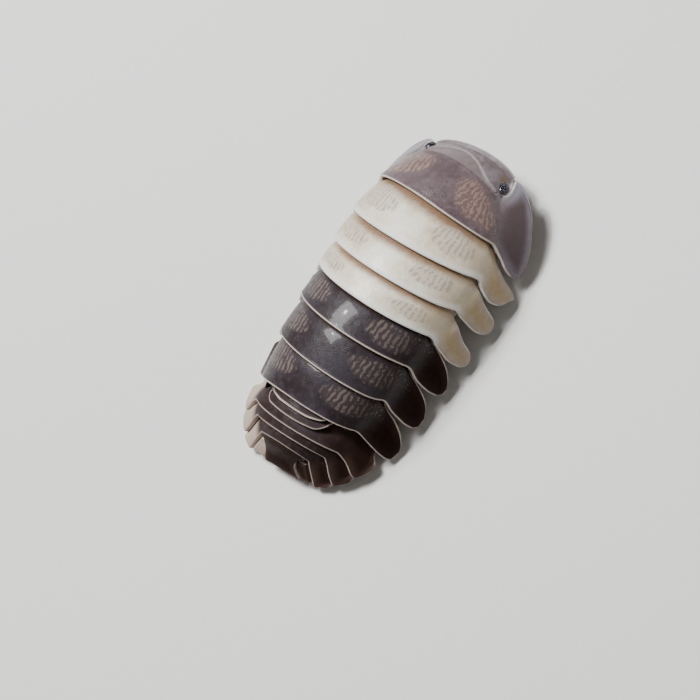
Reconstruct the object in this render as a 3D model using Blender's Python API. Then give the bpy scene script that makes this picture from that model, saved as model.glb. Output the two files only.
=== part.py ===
# A woodlouse at life size, resting on its feet, as a still model.
# Head towards +X, the animal's right side towards -Y, +Z up, the floor at z = 0.
# All sizes below are in millimetres and are turned into metres as each mesh is made.

import math

import bpy
import bmesh
from mathutils import Vector

MM = 0.001

# Gap that every two neighbouring pieces keep, measured along the body
GAP = 0.12

# The back, line by line across the body, from the head's front edge to the tail's last ring.
# Each line: place on the ridge, lead and half-width at the dome's foot, where the lobes end (x, y, z),
# and how far the line leans back across the dome, for each millimetre to the left
LINES = {
    "face": (7.42, -0.42, 1.84, 7.40, 1.94, 1.05, 0.0),
    "collar": (6.56, -0.60, 2.16, 7.20, 2.20, 1.50, -0.10),
    "pereonite_1": (4.42, 0.14, 2.84, 3.64, 3.84, 0.45, -0.07),
    "pereonite_2": (2.46, 0.36, 3.06, 2.86, 4.04, 0.42, 0.05),
    "pereonite_3": (0.98, 0.36, 3.06, 1.16, 4.04, 0.42, 0.03),
    "pereonite_4": (-0.31, 0.38, 2.95, -0.40, 3.99, 0.42, 0.01),
    "pereonite_5": (-1.73, 0.35, 2.88, -1.94, 3.82, 0.42, 0.0),
    "pereonite_6": (-3.44, 0.31, 2.77, -3.56, 3.72, 0.42, 0.0),
    "pereonite_7": (-5.02, 0.27, 2.38, -5.10, 3.42, 0.42, 0.0),
    "pleonite_1": (-5.36, 0.32, 2.34, -5.24, 3.46, 0.42, 0.0),
    "pleonite_2": (-5.73, 0.30, 2.29, -5.38, 3.42, 0.42, 0.0),
    "pleonite_3": (-6.10, 0.19, 2.14, -6.30, 3.10, 0.50, 0.0),
    "pleonite_4": (-6.46, 0.09, 1.74, -7.18, 2.42, 0.50, 0.0),
    "pleonite_5": (-6.84, -0.05, 1.20, -7.70, 1.62, 0.50, 0.0),
}
LINE_NAMES = list(LINES)
COLLAR = LINE_NAMES.index("collar")
TAIL_LINE = LINE_NAMES.index("pleonite_5")

# Both ends of the body bend a little to the left: bend in radians for each millimetre past the start,
# and how far the cross-lines turn with it
FRONT_TURN_FROM = 3.0
FRONT_TURN_RATE = 0.045
FRONT_CROSS_SHARE = 0.70
REAR_TURN_FROM = -4.0
REAR_TURN_RATE = 0.030
REAR_CROSS_SHARE = -0.85

# Middle of the whole body's outline on the floor, where the part has its origin
BODY_NAME = "woodlouse"
MIDDLE_X = -0.1825
MIDDLE_Y = 0.0

# Height of the ridge along the body, two quarter ovals that meet over the middle
RIDGE_TOP = 4.20
RIDGE_FOOT = 0.35
REAR_REACH = 7.80
REAR_ROUND = 2.3
FRONT_REACH = 8.05
FRONT_ROUND = 2.6
RIDGE_FALL = 0.58

# Section across the back: an arc down to the dome's foot, then a straight lobe
DOME_TURN = math.radians(64)
LOBE_CURVE = 0.85
FOOT_W = 0.62
FOOT_DROP = 0.42

# Plates: the rear rim stands proud and the front edge is tucked in
RIM_RISE = 0.05
FRONT_TUCK = 0.13
RISE_ROUND = 0.7
LOBE_THICK = 0.50
TIP_THICK = 0.34
TIP_ROUND = 0.15
TIP_LEAST = 0.30
BROAD_TIP_LEAST = {
    "pereonite_1": 0.80,
    "pereonite_2": 0.60,
    "pereonite_5": 0.42,
    "pereonite_6": 0.46,
    "pereonite_7": 0.50,
    "pleonite_3": 0.72,
    "pleonite_4": 0.72,
    "pleonite_5": 0.72,
}

# How far each lobe's front edge falls back below the dome, as a share of its plate's pitch,
# and how far down the lobe it does so
FRONT_SWEEP = {
    "pereonite_2": 0.10,
    "pereonite_3": 0.42,
    "pereonite_4": 0.40,
    "pereonite_5": 0.27,
    "pereonite_6": 0.24,
    "pereonite_7": 0.14,
    "pleonite_3": 0.05,
    "pleonite_4": 0.05,
    "pleonite_5": 0.05,
}
SWEEP_REACH = 0.90

# The first plate's lobes reach forward beside the head along a rounded edge
SHIELD_BULGE = 0.56

# Grid of a plate: columns on the dome and on the lobe of one side, and rows along the body
DOME_COLUMNS = 8
LOBE_COLUMNS = 8
ROWS = 4

# Underside
BELLY_MIDDLE = 1.45
BELLY_END = 0.85
BELLY_REACH = 7.6
BELLY_ROUND = 2.2
BELLY_SIDE_RISE = 0.10
BELLY_SIDE_ROUND = 4
BELLY_BELOW_LOBE = 0.9
BELLY_FOLLOW = 0.8

# Narrow first two rings of the tail end below the dome's foot
NARROW_RINGS = ("pleonite_1", "pleonite_2")
NARROW_REACH = 0.96

# Head: a cap in front of the collar, with a sloping face and flat cheeks
HEAD_ROWS = 4
HEAD_REACH = 0.999
FACE_ROUND = 0.8
FRONT_RIDGE_RISE = 0.07
MOUTH_X = 6.85
MOUTH_HEIGHT = 0.80
CHEEK_HALF_WIDTH = 1.45

# Compound eyes on the sides of the head
EYE_PLACE = 0.60
EYE_W = FOOT_W * 0.90
EYE_HALF_SIZE = (0.28, 0.20, 0.17)
EYE_SINK = 0.02
EYE_GAP = 0.10
EYE_SEGMENTS = 14
EYE_RINGS = 9

# Telson: from the last ring down and back to a blunt edge, narrowest at its waist
TELSON_END_X = -7.96
TELSON_END_HEIGHT = 0.72
TELSON_BASE_W = 0.50
TELSON_WAIST = 0.60
TELSON_END_HALF_WIDTH = 0.84
TELSON_SLIP = -0.13
TELSON_END_ARCH = 0.08
TELSON_BULGE = 0.16
TELSON_UNDER = 0.25
TELSON_UNDER_ROUND = 0.7
TELSON_UNDER_LEAD = 0.12
TELSON_UNDER_WIDTH = 0.92
TAIL_OUT = (-0.8, 0.0, 0.6)
TELSON_ROWS = 5
TELSON_COLUMNS = 4

# Uropods: flat plates that fill the tail's edge between the telson and the last lobes
UROPOD_GAP = 0.12
UROPOD_THICK = 0.45
UROPOD_END_X = -7.90
UROPOD_END_HEIGHT = 0.46
UROPOD_FROM = 0.22
UROPOD_LOBE_W = (0.614, 0.97)
UROPOD_CLEAR = (-0.149, -0.132, 0.0)
UROPOD_BULGE = 0.08
UROPOD_UNDER_WAY = (0.75, 0.0, -0.66)
UROPOD_ROWS = 4
UROPOD_COLUMNS = 3

# Legs: root beneath each plate, knee inwards, then out and down to a small flat foot
LEG_ROOT_X = (5.30, 3.62, 1.86, 0.50, -0.90, -2.45, -4.10)
LEG_REACH = (0.85, 0.65, 0.35, 0.00, -0.35, -0.70, -0.90)
LEG_FOOT_OUT = (2.05, 2.20, 2.50, 2.55, 2.55, 2.45, 2.20)
LEG_ROOT_OUT = 1.90
LEG_KNEE_OUT = 1.15
LEG_REACH_SHARES = (0.3, 0.7)
LEG_OUT_SHARES = (0.42, 0.84)
LEG_KNEE_HEIGHT = 0.88
LEG_SHIN_HEIGHT = 0.58
LEG_ANKLE_HEIGHT = 0.26
LEG_RADII = (0.30, 0.27, 0.25, 0.20, 0.17)
LEG_SIDES = 8

# Antennae, folded back beneath the head and the first plate's lobes
ANTENNA_ROOT_WAY = (0.78, 0.0, -0.62)
ANTENNA_ROUTE = (
    (7.24, 0.75, 1.07),
    (7.28, 1.12, 0.80),
    (7.00, 1.62, 0.52),
    (6.52, 2.08, 0.38),
    (5.92, 2.42, 0.33),
    (5.22, 2.66, 0.32),
    (4.50, 2.70, 0.32),
)
ANTENNA_RADII = (0.25, 0.25, 0.24, 0.23, 0.20, 0.15, 0.09)
ANTENNA_SIDES = 8

# Surface finish of each material, and how sharp an edge stays crisp
CRISP_ANGLE = math.radians(35)
SHELL_GREY = (0.150, 0.115, 0.130, 1.0)
SHELL_WHITE = (0.720, 0.690, 0.580, 1.0)
SHELL_DARK = (0.060, 0.048, 0.055, 1.0)
LIMB_PALE = (0.620, 0.560, 0.470, 1.0)
EYE_BLACK = (0.010, 0.011, 0.018, 1.0)

SHELL_OF = {
    "pereonite_1": "shell_grey",
    "pereonite_2": "shell_white",
    "pereonite_3": "shell_white",
    "pereonite_4": "shell_white",
}

MATERIALS = {
    "shell_grey": (SHELL_GREY, 0.35),
    "shell_white": (SHELL_WHITE, 0.32),
    "shell_dark": (SHELL_DARK, 0.33),
    "limb": (LIMB_PALE, 0.45),
    "eye": (EYE_BLACK, 0.15),
}


def clear_scene():
    for obj in list(bpy.data.objects):
        bpy.data.objects.remove(obj, do_unlink=True)


def make_material(name):
    colour, roughness = MATERIALS[name]
    material = bpy.data.materials.new(name)
    material.use_nodes = True
    shader = material.node_tree.nodes["Principled BSDF"]
    shader.inputs["Base Color"].default_value = colour
    shader.inputs["Roughness"].default_value = roughness
    shader.inputs["Metallic"].default_value = 0.0
    return material


def mix(a, b, share):
    return a + (b - a) * share


def smooth_value(values, place):
    """Value at a place along a list, by a curve that passes through every entry."""
    last = len(values) - 1
    place = min(max(place, 0.0), float(last))
    k = min(int(place), last - 1)
    t = place - k
    before = values[max(k - 1, 0)]
    after = values[min(k + 2, last)]
    slope_in = (values[k + 1] - before) / (2.0 if k > 0 else 1.0)
    slope_out = (after - values[k]) / (2.0 if k + 2 <= last else 1.0)
    return (
        values[k] * (2 * t**3 - 3 * t**2 + 1)
        + slope_in * (t**3 - 2 * t**2 + t)
        + values[k + 1] * (3 * t**2 - 2 * t**3)
        + slope_out * (t**3 - t**2)
    )


def line_value(column, place):
    return smooth_value([LINES[name][column] for name in LINE_NAMES], place)


def ridge_height(x):
    reach = FRONT_REACH if x > 0 else REAR_REACH
    power = FRONT_ROUND if x > 0 else REAR_ROUND
    share = min(abs(x) / reach, 0.9999)
    return RIDGE_FOOT + (RIDGE_TOP - RIDGE_FOOT) * (1 - share**power) ** RIDGE_FALL


def section_drop(w):
    """Downward share of the section at w, 0 on the ridge and 1 at the lobe's end."""
    if w < FOOT_W:
        return FOOT_DROP * (1 - math.cos(DOME_TURN * w / FOOT_W)) / (1 - math.cos(DOME_TURN))
    return mix(FOOT_DROP, 1.0, (w - FOOT_W) / (1 - FOOT_W))


def rim_out(place):
    """Half-width at the lobes' ends, fuller along the first plate's rounded edge."""
    past = place - COLLAR
    bulge = math.sin(math.pi * past) * SHIELD_BULGE if 0 < past < 1 else 0.0
    return line_value(4, place) + bulge


def shell_point(place, w):
    """Point on the smooth outer form of the back: place counts the lines, w runs -1 to 1 across."""
    size = abs(w)
    side = math.copysign(1.0, w)
    ridge_x = line_value(0, place)
    foot_out = line_value(2, place)
    foot_x = ridge_x + line_value(1, place)
    lean = side * line_value(6, place)
    if size < FOOT_W:
        share = size / FOOT_W
        y = foot_out * math.sin(share * DOME_TURN) / math.sin(DOME_TURN)
        x = mix(ridge_x, foot_x, share**2) - y * lean
    else:
        share = (size - FOOT_W) / (1 - FOOT_W)
        x = mix(foot_x - foot_out * lean, line_value(3, place), share**LOBE_CURVE)
        y = mix(foot_out, rim_out(place), share)
    z = mix(ridge_height(ridge_x), line_value(5, place), section_drop(size))
    return Vector((x, side * y, z))


def shell_normal(place, w):
    step = 0.01
    along = shell_point(place + step, w) - shell_point(place - step, w)
    near = max(min(w, 1 - step), step - 1)
    across = shell_point(place, near + step) - shell_point(place, near - step)
    return across.cross(along).normalized()


def belly_height(x):
    share = min(abs(x) / BELLY_REACH, 1.0)
    return mix(BELLY_MIDDLE, BELLY_END, share**BELLY_ROUND)


def column_places(reach=1.0):
    """Places across one side, from the ridge out to the lobe's tip."""
    dome = [FOOT_W * k / DOME_COLUMNS for k in range(DOME_COLUMNS + 1)]
    if reach < 1.0:
        return [w * reach for w in dome]
    lobe = []
    for k in range(1, LOBE_COLUMNS + 1):
        share = math.sin(k / LOBE_COLUMNS * math.pi / 2)
        lobe.append(mix(FOOT_W, 1.0, share))
    return dome + lobe


def half_gap(line):
    """Half the gap at a line, counted in lines."""
    return GAP / abs(line_value(0, line + 0.5) - line_value(0, line - 0.5)) / 2


def lobe_rows(name, line, w):
    """Front and rear places of a plate at w, with the lobe's outline rounded at its tip."""
    front = line - 1 + half_gap(line - 1)
    rear = line - half_gap(line)
    size = abs(w)
    if size <= FOOT_W:
        return front, rear
    down = (size - FOOT_W) / (1 - FOOT_W)
    front += FRONT_SWEEP.get(name, 0.0) * math.sin(min(down / SWEEP_REACH, 1.0) * math.pi / 2)
    round_from = 1 - TIP_ROUND
    if size > round_from:
        turn = (size - round_from) / TIP_ROUND
        least = BROAD_TIP_LEAST.get(name, TIP_LEAST)
        half = (rear - front) / 2 * mix(least, 1.0, math.sqrt(max(1 - turn**2, 0.0)))
        middle = (front + rear) / 2
        return middle - half, middle + half
    return front, rear


def plate_rings(name, reach=1.0):
    """Rows of outer points and of inner points, each from the left end to the right end."""
    line = LINE_NAMES.index(name)
    side = column_places(reach)
    across = [w for w in reversed(side[1:])] + [0.0] + [-w for w in side[1:]]
    rings = []
    for row in range(ROWS + 1):
        share = row / ROWS
        outer = []
        inner = []
        for w in across:
            front, rear = lobe_rows(name, line, w)
            place = mix(front, rear, share)
            normal = shell_normal(place, w)
            point = shell_point(place, w)
            lift = mix(-FRONT_TUCK, RIM_RISE, share**RISE_ROUND)
            outer.append(point + normal * lift)
            inner.append(inner_point(place, w, point, normal))
        rings.append((outer, inner))
    return rings


def inner_point(place, w, point, normal):
    """The belly under the dome and the inner face of the lobe."""
    size = abs(w)
    if size > FOOT_W:
        down = (size - FOOT_W) / (1 - FOOT_W)
        return point - normal * mix(LOBE_THICK, TIP_THICK, down)
    foot_w = math.copysign(FOOT_W, w)
    foot = shell_point(place, foot_w)
    share = size / FOOT_W
    under = foot - shell_normal(place, foot_w) * LOBE_THICK
    lowest = belly_height(foot.x)
    side = max(lowest + BELLY_SIDE_RISE, under.z - BELLY_BELOW_LOBE)
    y = under.y * share
    x = mix(point.x, foot.x + (foot.y - y) * line_value(6, place), BELLY_FOLLOW)
    return Vector((x, y, mix(lowest, side, share**BELLY_SIDE_ROUND)))


def turned(point):
    """The point after both ends of the body are turned to the left."""
    ends = (
        (1, FRONT_TURN_FROM, FRONT_TURN_RATE, FRONT_CROSS_SHARE),
        (-1, REAR_TURN_FROM, REAR_TURN_RATE, REAR_CROSS_SHARE),
    )
    for way, start, rate, cross in ends:
        past = way * (point[0] - start)
        if past > 0:
            angle = rate * past
            x = start + way * (math.sin(angle) / rate - point[1] * math.sin(angle * cross))
            y = (1 - math.cos(angle)) / rate + point[1] * math.cos(angle * cross)
            return Vector((x, y, point[2]))
    return Vector(point)


def mesh_object(name, points, faces, material, origin):
    """An object of the body whose own origin lies at the given point."""
    base = turned(origin) * MM
    mesh = bpy.data.meshes.new(name)
    mesh.from_pydata([turned(p) * MM - base for p in points], [], faces)
    mesh.validate()
    work = bmesh.new()
    work.from_mesh(mesh)
    bmesh.ops.recalc_face_normals(work, faces=work.faces)
    work.to_mesh(mesh)
    work.free()
    mesh.materials.append(material)
    mesh.shade_smooth()
    mesh.set_sharp_from_angle(angle=CRISP_ANGLE)
    obj = bpy.data.objects.new(name, mesh)
    bpy.context.collection.objects.link(obj)
    obj.parent = bpy.data.objects[BODY_NAME]
    obj.location = base
    return obj


def closed_rings(rings):
    """Points and faces of a body lofted through rings of outer and inner points."""
    count = len(rings[0][0])
    points = []
    for outer, inner in rings:
        points += outer + inner
    ring_size = 2 * count
    faces = []
    for row in range(len(rings) - 1):
        here = row * ring_size
        there = here + ring_size
        for k in range(count - 1):
            faces.append((here + k, here + k + 1, there + k + 1, there + k))
            a = here + count + k
            b = there + count + k
            faces.append((a + 1, a, b, b + 1))
        faces.append((here + count, here, there, there + count))
        last = count - 1
        faces.append((here + last, here + count + last, there + count + last, there + last))
    end = (len(rings) - 1) * ring_size
    for k in range(count - 1):
        faces.append((k + 1, k, count + k, count + k + 1))
        faces.append((end + k, end + k + 1, end + count + k + 1, end + count + k))
    return points, faces


def build_plates(materials):
    for name in LINE_NAMES[COLLAR + 1:]:
        reach = NARROW_REACH if name in NARROW_RINGS else 1.0
        points, faces = closed_rings(plate_rings(name, reach))
        origin = shell_point(LINE_NAMES.index(name) - 0.5, 0.0)
        mesh_object(name, points, faces, materials[SHELL_OF.get(name, "shell_dark")], origin)


def head_rings():
    """Rows of the head from its rear edge to the front ridge, with the mouth's flat floor below."""
    side = column_places(HEAD_REACH)
    across = [w for w in reversed(side[1:])] + [0.0] + [-w for w in side[1:]]
    rear = COLLAR - half_gap(COLLAR)
    rings = []
    for row in range(HEAD_ROWS + 1):
        share = row / HEAD_ROWS
        place = mix(rear, 0.0, share)
        lift = mix(-FRONT_TUCK / 2, FRONT_RIDGE_RISE, share**2)
        outer = []
        inner = []
        for w in across:
            outer.append(shell_point(place, w) + shell_normal(place, w) * lift)
            back = inner_point(rear, w, shell_point(rear, w), shell_normal(COLLAR, w))
            x = mix(back.x, MOUTH_X, share**FACE_ROUND)
            inner.append(Vector((x, CHEEK_HALF_WIDTH * w / side[-1], MOUTH_HEIGHT)))
        rings.append((outer, inner))
    return rings


def ellipsoid(centre, axes, half_sizes):
    """Closed points and faces of an ellipsoid along three given axes."""
    points = [centre - axes[2] * half_sizes[2]]
    for ring in range(1, EYE_RINGS):
        rise = math.pi * ring / EYE_RINGS
        for k in range(EYE_SEGMENTS):
            turn = 2 * math.pi * k / EYE_SEGMENTS
            points.append(
                centre
                + axes[0] * half_sizes[0] * math.sin(rise) * math.cos(turn)
                + axes[1] * half_sizes[1] * math.sin(rise) * math.sin(turn)
                - axes[2] * half_sizes[2] * math.cos(rise)
            )
    points.append(centre + axes[2] * half_sizes[2])
    top = len(points) - 1
    faces = []
    for k in range(EYE_SEGMENTS):
        after = (k + 1) % EYE_SEGMENTS
        faces.append((0, 1 + after, 1 + k))
        for ring in range(EYE_RINGS - 2):
            here = 1 + ring * EYE_SEGMENTS
            there = here + EYE_SEGMENTS
            faces.append((here + k, here + after, there + after, there + k))
        last = 1 + (EYE_RINGS - 2) * EYE_SEGMENTS
        faces.append((last + k, last + after, top))
    return points, faces


def eye_shape(side, grow):
    """An eye on one side of the head, or its larger socket."""
    w = side * EYE_W
    normal = shell_normal(EYE_PLACE, w)
    along = (Vector((1, 0, 0)) - normal * normal.x).normalized()
    upward = normal.cross(along)
    centre = shell_point(EYE_PLACE, w) - normal * EYE_SINK
    return ellipsoid(centre, (along, upward, normal), [size + grow for size in EYE_HALF_SIZE])


def cut_away(obj, cutter):
    """Takes the cutter's form out of the object and removes the cutter."""
    cutter.hide_render = True
    cutter.display_type = "WIRE"
    boolean = obj.modifiers.new("socket", "BOOLEAN")
    boolean.operation = "DIFFERENCE"
    boolean.solver = "EXACT"
    boolean.object = cutter
    bpy.context.view_layer.update()
    evaluated = obj.evaluated_get(bpy.context.evaluated_depsgraph_get())
    mesh = bpy.data.meshes.new_from_object(evaluated)
    obj.modifiers.clear()
    obj.data = mesh
    bpy.data.objects.remove(cutter, do_unlink=True)


def build_head(materials):
    points, faces = closed_rings(head_rings())
    head = mesh_object("head", points, faces, materials["shell_grey"], shell_point(EYE_PLACE, 0.0))
    for side, label in ((1, "left"), (-1, "right")):
        centre = shell_point(EYE_PLACE, side * EYE_W)
        points, faces = eye_shape(side, 0.0)
        mesh_object("eye_" + label, points, faces, materials["eye"], centre)
        points, faces = eye_shape(side, EYE_GAP)
        cut_away(head, mesh_object("eye_socket", points, faces, materials["eye"], centre))


def tail_edge(half_width, base_drop, end_x, end_y, end_z, share):
    """Point on a line from the last ring's rim to the tail's edge, drawn in at the waist."""
    base = shell_point(TAIL_LINE, half_width) + Vector((-GAP, 0, -base_drop))
    end = Vector((end_x, end_y, end_z))
    return base, end, base.lerp(end, share)


def build_telson(materials):
    rings = []
    for row in range(TELSON_ROWS + 1):
        share = row / TELSON_ROWS
        bow = math.sin(math.pi * share)
        outer = []
        inner = []
        for k in range(-TELSON_COLUMNS, TELSON_COLUMNS + 1):
            c = -k / TELSON_COLUMNS
            end_z = TELSON_END_HEIGHT - TELSON_END_ARCH * c * c
            base, end, point = tail_edge(
                c * TELSON_BASE_W, FRONT_TUCK / 2, TELSON_END_X, c * TELSON_END_HALF_WIDTH, end_z, share
            )
            waist = mix(mix(abs(base.y), abs(end.y), share), TELSON_WAIST * abs(c), bow)
            point.y = (math.copysign(waist, c) if c else 0.0) + TELSON_SLIP * share
            point += Vector(TAIL_OUT) * TELSON_BULGE * bow
            outer.append(point)
            low = mix(BELLY_END, point.z - TELSON_UNDER, share**TELSON_UNDER_ROUND)
            inner.append(Vector((point.x + TELSON_UNDER_LEAD * share, point.y * TELSON_UNDER_WIDTH, low)))
        rings.append((outer, inner))
    points, faces = closed_rings(rings)
    mesh_object("telson", points, faces, materials["shell_dark"], shell_point(TAIL_LINE, 0.0))


def uropod_corner(side, across, share):
    """Point of a uropod's upper face: across 0 beside the telson, 1 beside the last lobe."""
    outer = shell_point(TAIL_LINE, mix(UROPOD_LOBE_W[0], UROPOD_LOBE_W[1], share)) + Vector(UROPOD_CLEAR)
    bow = math.sin(math.pi * share)
    base, end, inner = tail_edge(
        TELSON_BASE_W, FRONT_TUCK, UROPOD_END_X, TELSON_END_HALF_WIDTH + UROPOD_GAP, UROPOD_END_HEIGHT, share
    )
    inner.y = mix(mix(base.y, end.y, share), TELSON_WAIST, bow) + UROPOD_GAP + side * TELSON_SLIP * share
    inner += Vector(TAIL_OUT) * UROPOD_BULGE * bow
    point = inner.lerp(outer, across)
    return Vector((point.x, side * point.y, point.z))


def build_uropods(materials):
    for side, label in ((1, "left"), (-1, "right")):
        rings = []
        for row in range(UROPOD_ROWS + 1):
            share = mix(UROPOD_FROM, 1.0, row / UROPOD_ROWS)
            outer = [uropod_corner(side, k / UROPOD_COLUMNS, share) for k in range(UROPOD_COLUMNS + 1)]
            inner = [point + Vector(UROPOD_UNDER_WAY) * UROPOD_THICK for point in outer]
            rings.append((outer, inner))
        points, faces = closed_rings(rings)
        mesh_object("uropod_" + label, points, faces, materials["shell_dark"], points[0])


def tube(route, radii, sides, flat_ends=(None, None)):
    """Closed tube through the route; an end given a normal is cut square to it."""
    points = []
    count = len(route)
    for k in range(count):
        ahead = Vector(route[min(k + 1, count - 1)]) - Vector(route[max(k - 1, 0)])
        if k == 0 and flat_ends[0]:
            ahead = Vector(flat_ends[0])
        if k == count - 1 and flat_ends[1]:
            ahead = Vector(flat_ends[1])
        ahead.normalize()
        first = ahead.cross(Vector((1, 0, 0))).normalized()
        second = ahead.cross(first)
        for j in range(sides):
            turn = 2 * math.pi * j / sides
            offset = first * math.cos(turn) + second * math.sin(turn)
            points.append(Vector(route[k]) + offset * radii[k])
    faces = [tuple(reversed(range(sides)))]
    for k in range(count - 1):
        for j in range(sides):
            after = (j + 1) % sides
            a = k * sides
            b = a + sides
            faces.append((a + j, a + after, b + after, b + j))
    last = (count - 1) * sides
    faces.append(tuple(last + j for j in range(sides)))
    return points, faces


def build_legs(materials):
    for k, root_x in enumerate(LEG_ROOT_X):
        reach = LEG_REACH[k]
        foot_out = LEG_FOOT_OUT[k]
        top = belly_height(root_x) - GAP
        route = (
            (root_x, LEG_ROOT_OUT, top),
            (root_x, LEG_KNEE_OUT, LEG_KNEE_HEIGHT),
            (
                root_x + reach * LEG_REACH_SHARES[0],
                mix(LEG_KNEE_OUT, foot_out, LEG_OUT_SHARES[0]),
                LEG_SHIN_HEIGHT,
            ),
            (
                root_x + reach * LEG_REACH_SHARES[1],
                mix(LEG_KNEE_OUT, foot_out, LEG_OUT_SHARES[1]),
                LEG_ANKLE_HEIGHT,
            ),
            (root_x + reach, foot_out, 0.0),
        )
        for side, label in ((1, "left"), (-1, "right")):
            sided = [(x, side * y, z) for x, y, z in route]
            points, faces = tube(sided, LEG_RADII, LEG_SIDES, ((0, 0, -1), (0, 0, -1)))
            mesh_object("leg_%d_%s" % (k + 1, label), points, faces, materials["limb"], sided[0])


def build_antennae(materials):
    for side, label in ((1, "left"), (-1, "right")):
        sided = [(x, side * y, z) for x, y, z in ANTENNA_ROUTE]
        points, faces = tube(sided, ANTENNA_RADII, ANTENNA_SIDES, (ANTENNA_ROOT_WAY, None))
        mesh_object("antenna_" + label, points, faces, materials["limb"], sided[0])


def make_body():
    """The empty that carries every piece and sets the origin below the body's middle."""
    body = bpy.data.objects.new(BODY_NAME, None)
    bpy.context.collection.objects.link(body)
    body.location = Vector((-MIDDLE_X, -MIDDLE_Y, 0.0)) * MM


def main():
    clear_scene()
    make_body()
    materials = {name: make_material(name) for name in MATERIALS}
    build_plates(materials)
    build_head(materials)
    build_telson(materials)
    build_uropods(materials)
    build_legs(materials)
    build_antennae(materials)


main()
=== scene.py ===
# A woodlouse at life size, dressed over its plain solids.
# Head towards +X, the right side towards -Y, sizes in millimetres unless a line says otherwise.

import math

import bpy
import bmesh
import numpy as np
from mathutils import Matrix, Vector


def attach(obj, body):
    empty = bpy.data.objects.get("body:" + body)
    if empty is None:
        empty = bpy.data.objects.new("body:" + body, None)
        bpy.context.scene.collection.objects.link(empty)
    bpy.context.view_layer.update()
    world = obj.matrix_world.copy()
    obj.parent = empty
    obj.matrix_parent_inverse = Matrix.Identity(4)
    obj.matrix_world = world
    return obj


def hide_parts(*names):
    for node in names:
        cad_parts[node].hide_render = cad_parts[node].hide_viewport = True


print("stage: loading the solids")
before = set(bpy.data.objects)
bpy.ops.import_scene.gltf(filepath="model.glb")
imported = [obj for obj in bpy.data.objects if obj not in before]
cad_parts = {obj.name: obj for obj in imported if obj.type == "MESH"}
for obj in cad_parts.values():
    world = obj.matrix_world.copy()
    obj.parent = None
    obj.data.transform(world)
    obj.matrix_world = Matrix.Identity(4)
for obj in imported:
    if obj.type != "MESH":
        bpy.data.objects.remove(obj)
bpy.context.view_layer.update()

mm = 0.001

# Where each line across the back lies: ridge x, lead and half-width at the dome's foot,
# the lobe's end (x, y, z), how far the line leans back for each millimetre to the left, and for
# the left side only: how much further out the foot and the lobe's end lie, and the foot's lead
backLines = {
    "face": (7.42, -0.42, 1.84, 7.40, 1.94, 1.05, 0.0, 0.0, 0.0, 0.0),
    "collar": (6.56, -0.60, 2.16, 7.20, 2.20, 1.50, -0.10, 0.04, -0.06, 0.0),
    "pereonite_1": (4.42, 0.14, 2.84, 3.64, 3.84, 0.45, -0.07, 0.22, -0.14, -0.36),
    "pereonite_2": (2.46, 0.36, 3.06, 2.86, 4.04, 0.42, 0.05, 0.12, -0.06, -0.06),
    "pereonite_3": (0.98, 0.36, 3.06, 1.16, 4.04, 0.42, 0.03, 0.06, 0.0, 0.0),
    "pereonite_4": (-0.31, 0.38, 2.95, -0.40, 3.99, 0.42, 0.01, 0.04, 0.0, 0.0),
    "pereonite_5": (-1.73, 0.35, 2.88, -1.94, 3.82, 0.42, 0.0, 0.0, 0.0, 0.0),
    "pereonite_6": (-3.44, 0.31, 2.77, -3.56, 3.72, 0.42, 0.0, 0.0, 0.0, 0.0),
    "pereonite_7": (-5.02, 0.27, 2.38, -5.10, 3.42, 0.42, 0.0, 0.0, 0.0, -0.36),
    "pleonite_1": (-5.36, 0.54, 2.34, -5.24, 3.46, 0.42, 0.0, 0.0, 0.0, -0.36),
    "pleonite_2": (-5.73, 0.72, 2.29, -5.38, 3.42, 0.42, 0.0, 0.0, 0.0, -0.28),
    "pleonite_3": (-6.10, 0.19, 2.14, -6.30, 3.10, 0.50, 0.0, 0.0, 0.0, 0.0),
    "pleonite_4": (-6.46, 0.09, 1.74, -7.18, 2.42, 0.50, 0.0, 0.0, 0.0, 0.0),
    "pleonite_5": (-6.84, -0.05, 1.20, -7.70, 1.62, 0.50, 0.0, 0.0, 0.0, 0.0),
}
lineNames = list(backLines)
lineTable = np.array([backLines[name] for name in lineNames])
collarLine = lineNames.index("collar")
tailLine = lineNames.index("pleonite_5")

# The whole back: ridge height, section, bend of both ends, and the middle of the solids
bodyShape = dict(
    ridgeTop=4.20, ridgeFoot=0.35, rearReach=7.80, rearRound=2.3,
    frontReach=8.05, frontRound=2.6, ridgeFall=0.58,
    domeTurn=math.radians(64), footAcross=0.62, footDrop=0.42, lobeCurve=0.85,
    frontTurnFrom=3.0, frontTurnRate=0.045, frontCross=0.70,
    rearTurnFrom=-4.0, rearTurnRate=0.030, rearCross=-0.85,
    shieldBulge=0.56, middleX=-0.1825,
    bellyMiddle=1.45, bellyEnd=0.85, bellyReach=7.6, bellyRound=2.2,
)
footAcross = bodyShape["footAcross"]


# The back's outer form, for whole arrays of places at once

def mix(a, b, share):
    return a + (b - a) * share


def ease(value):
    value = np.clip(value, 0.0, 1.0)
    return value * value * (3 - 2 * value)


def lineValue(column, place):
    values = lineTable[:, column]
    last = len(values) - 1
    place = np.clip(place, 0.0, last)
    k = np.minimum(place.astype(int), last - 1)
    t = place - k
    slopeIn = (values[k + 1] - values[np.maximum(k - 1, 0)]) / np.where(k > 0, 2.0, 1.0)
    slopeOut = (values[np.minimum(k + 2, last)] - values[k]) / np.where(k + 2 <= last, 2.0, 1.0)
    return (
        values[k] * (2 * t**3 - 3 * t**2 + 1) + slopeIn * (t**3 - 2 * t**2 + t)
        + values[k + 1] * (3 * t**2 - 2 * t**3) + slopeOut * (t**3 - t**2)
    )


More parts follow.
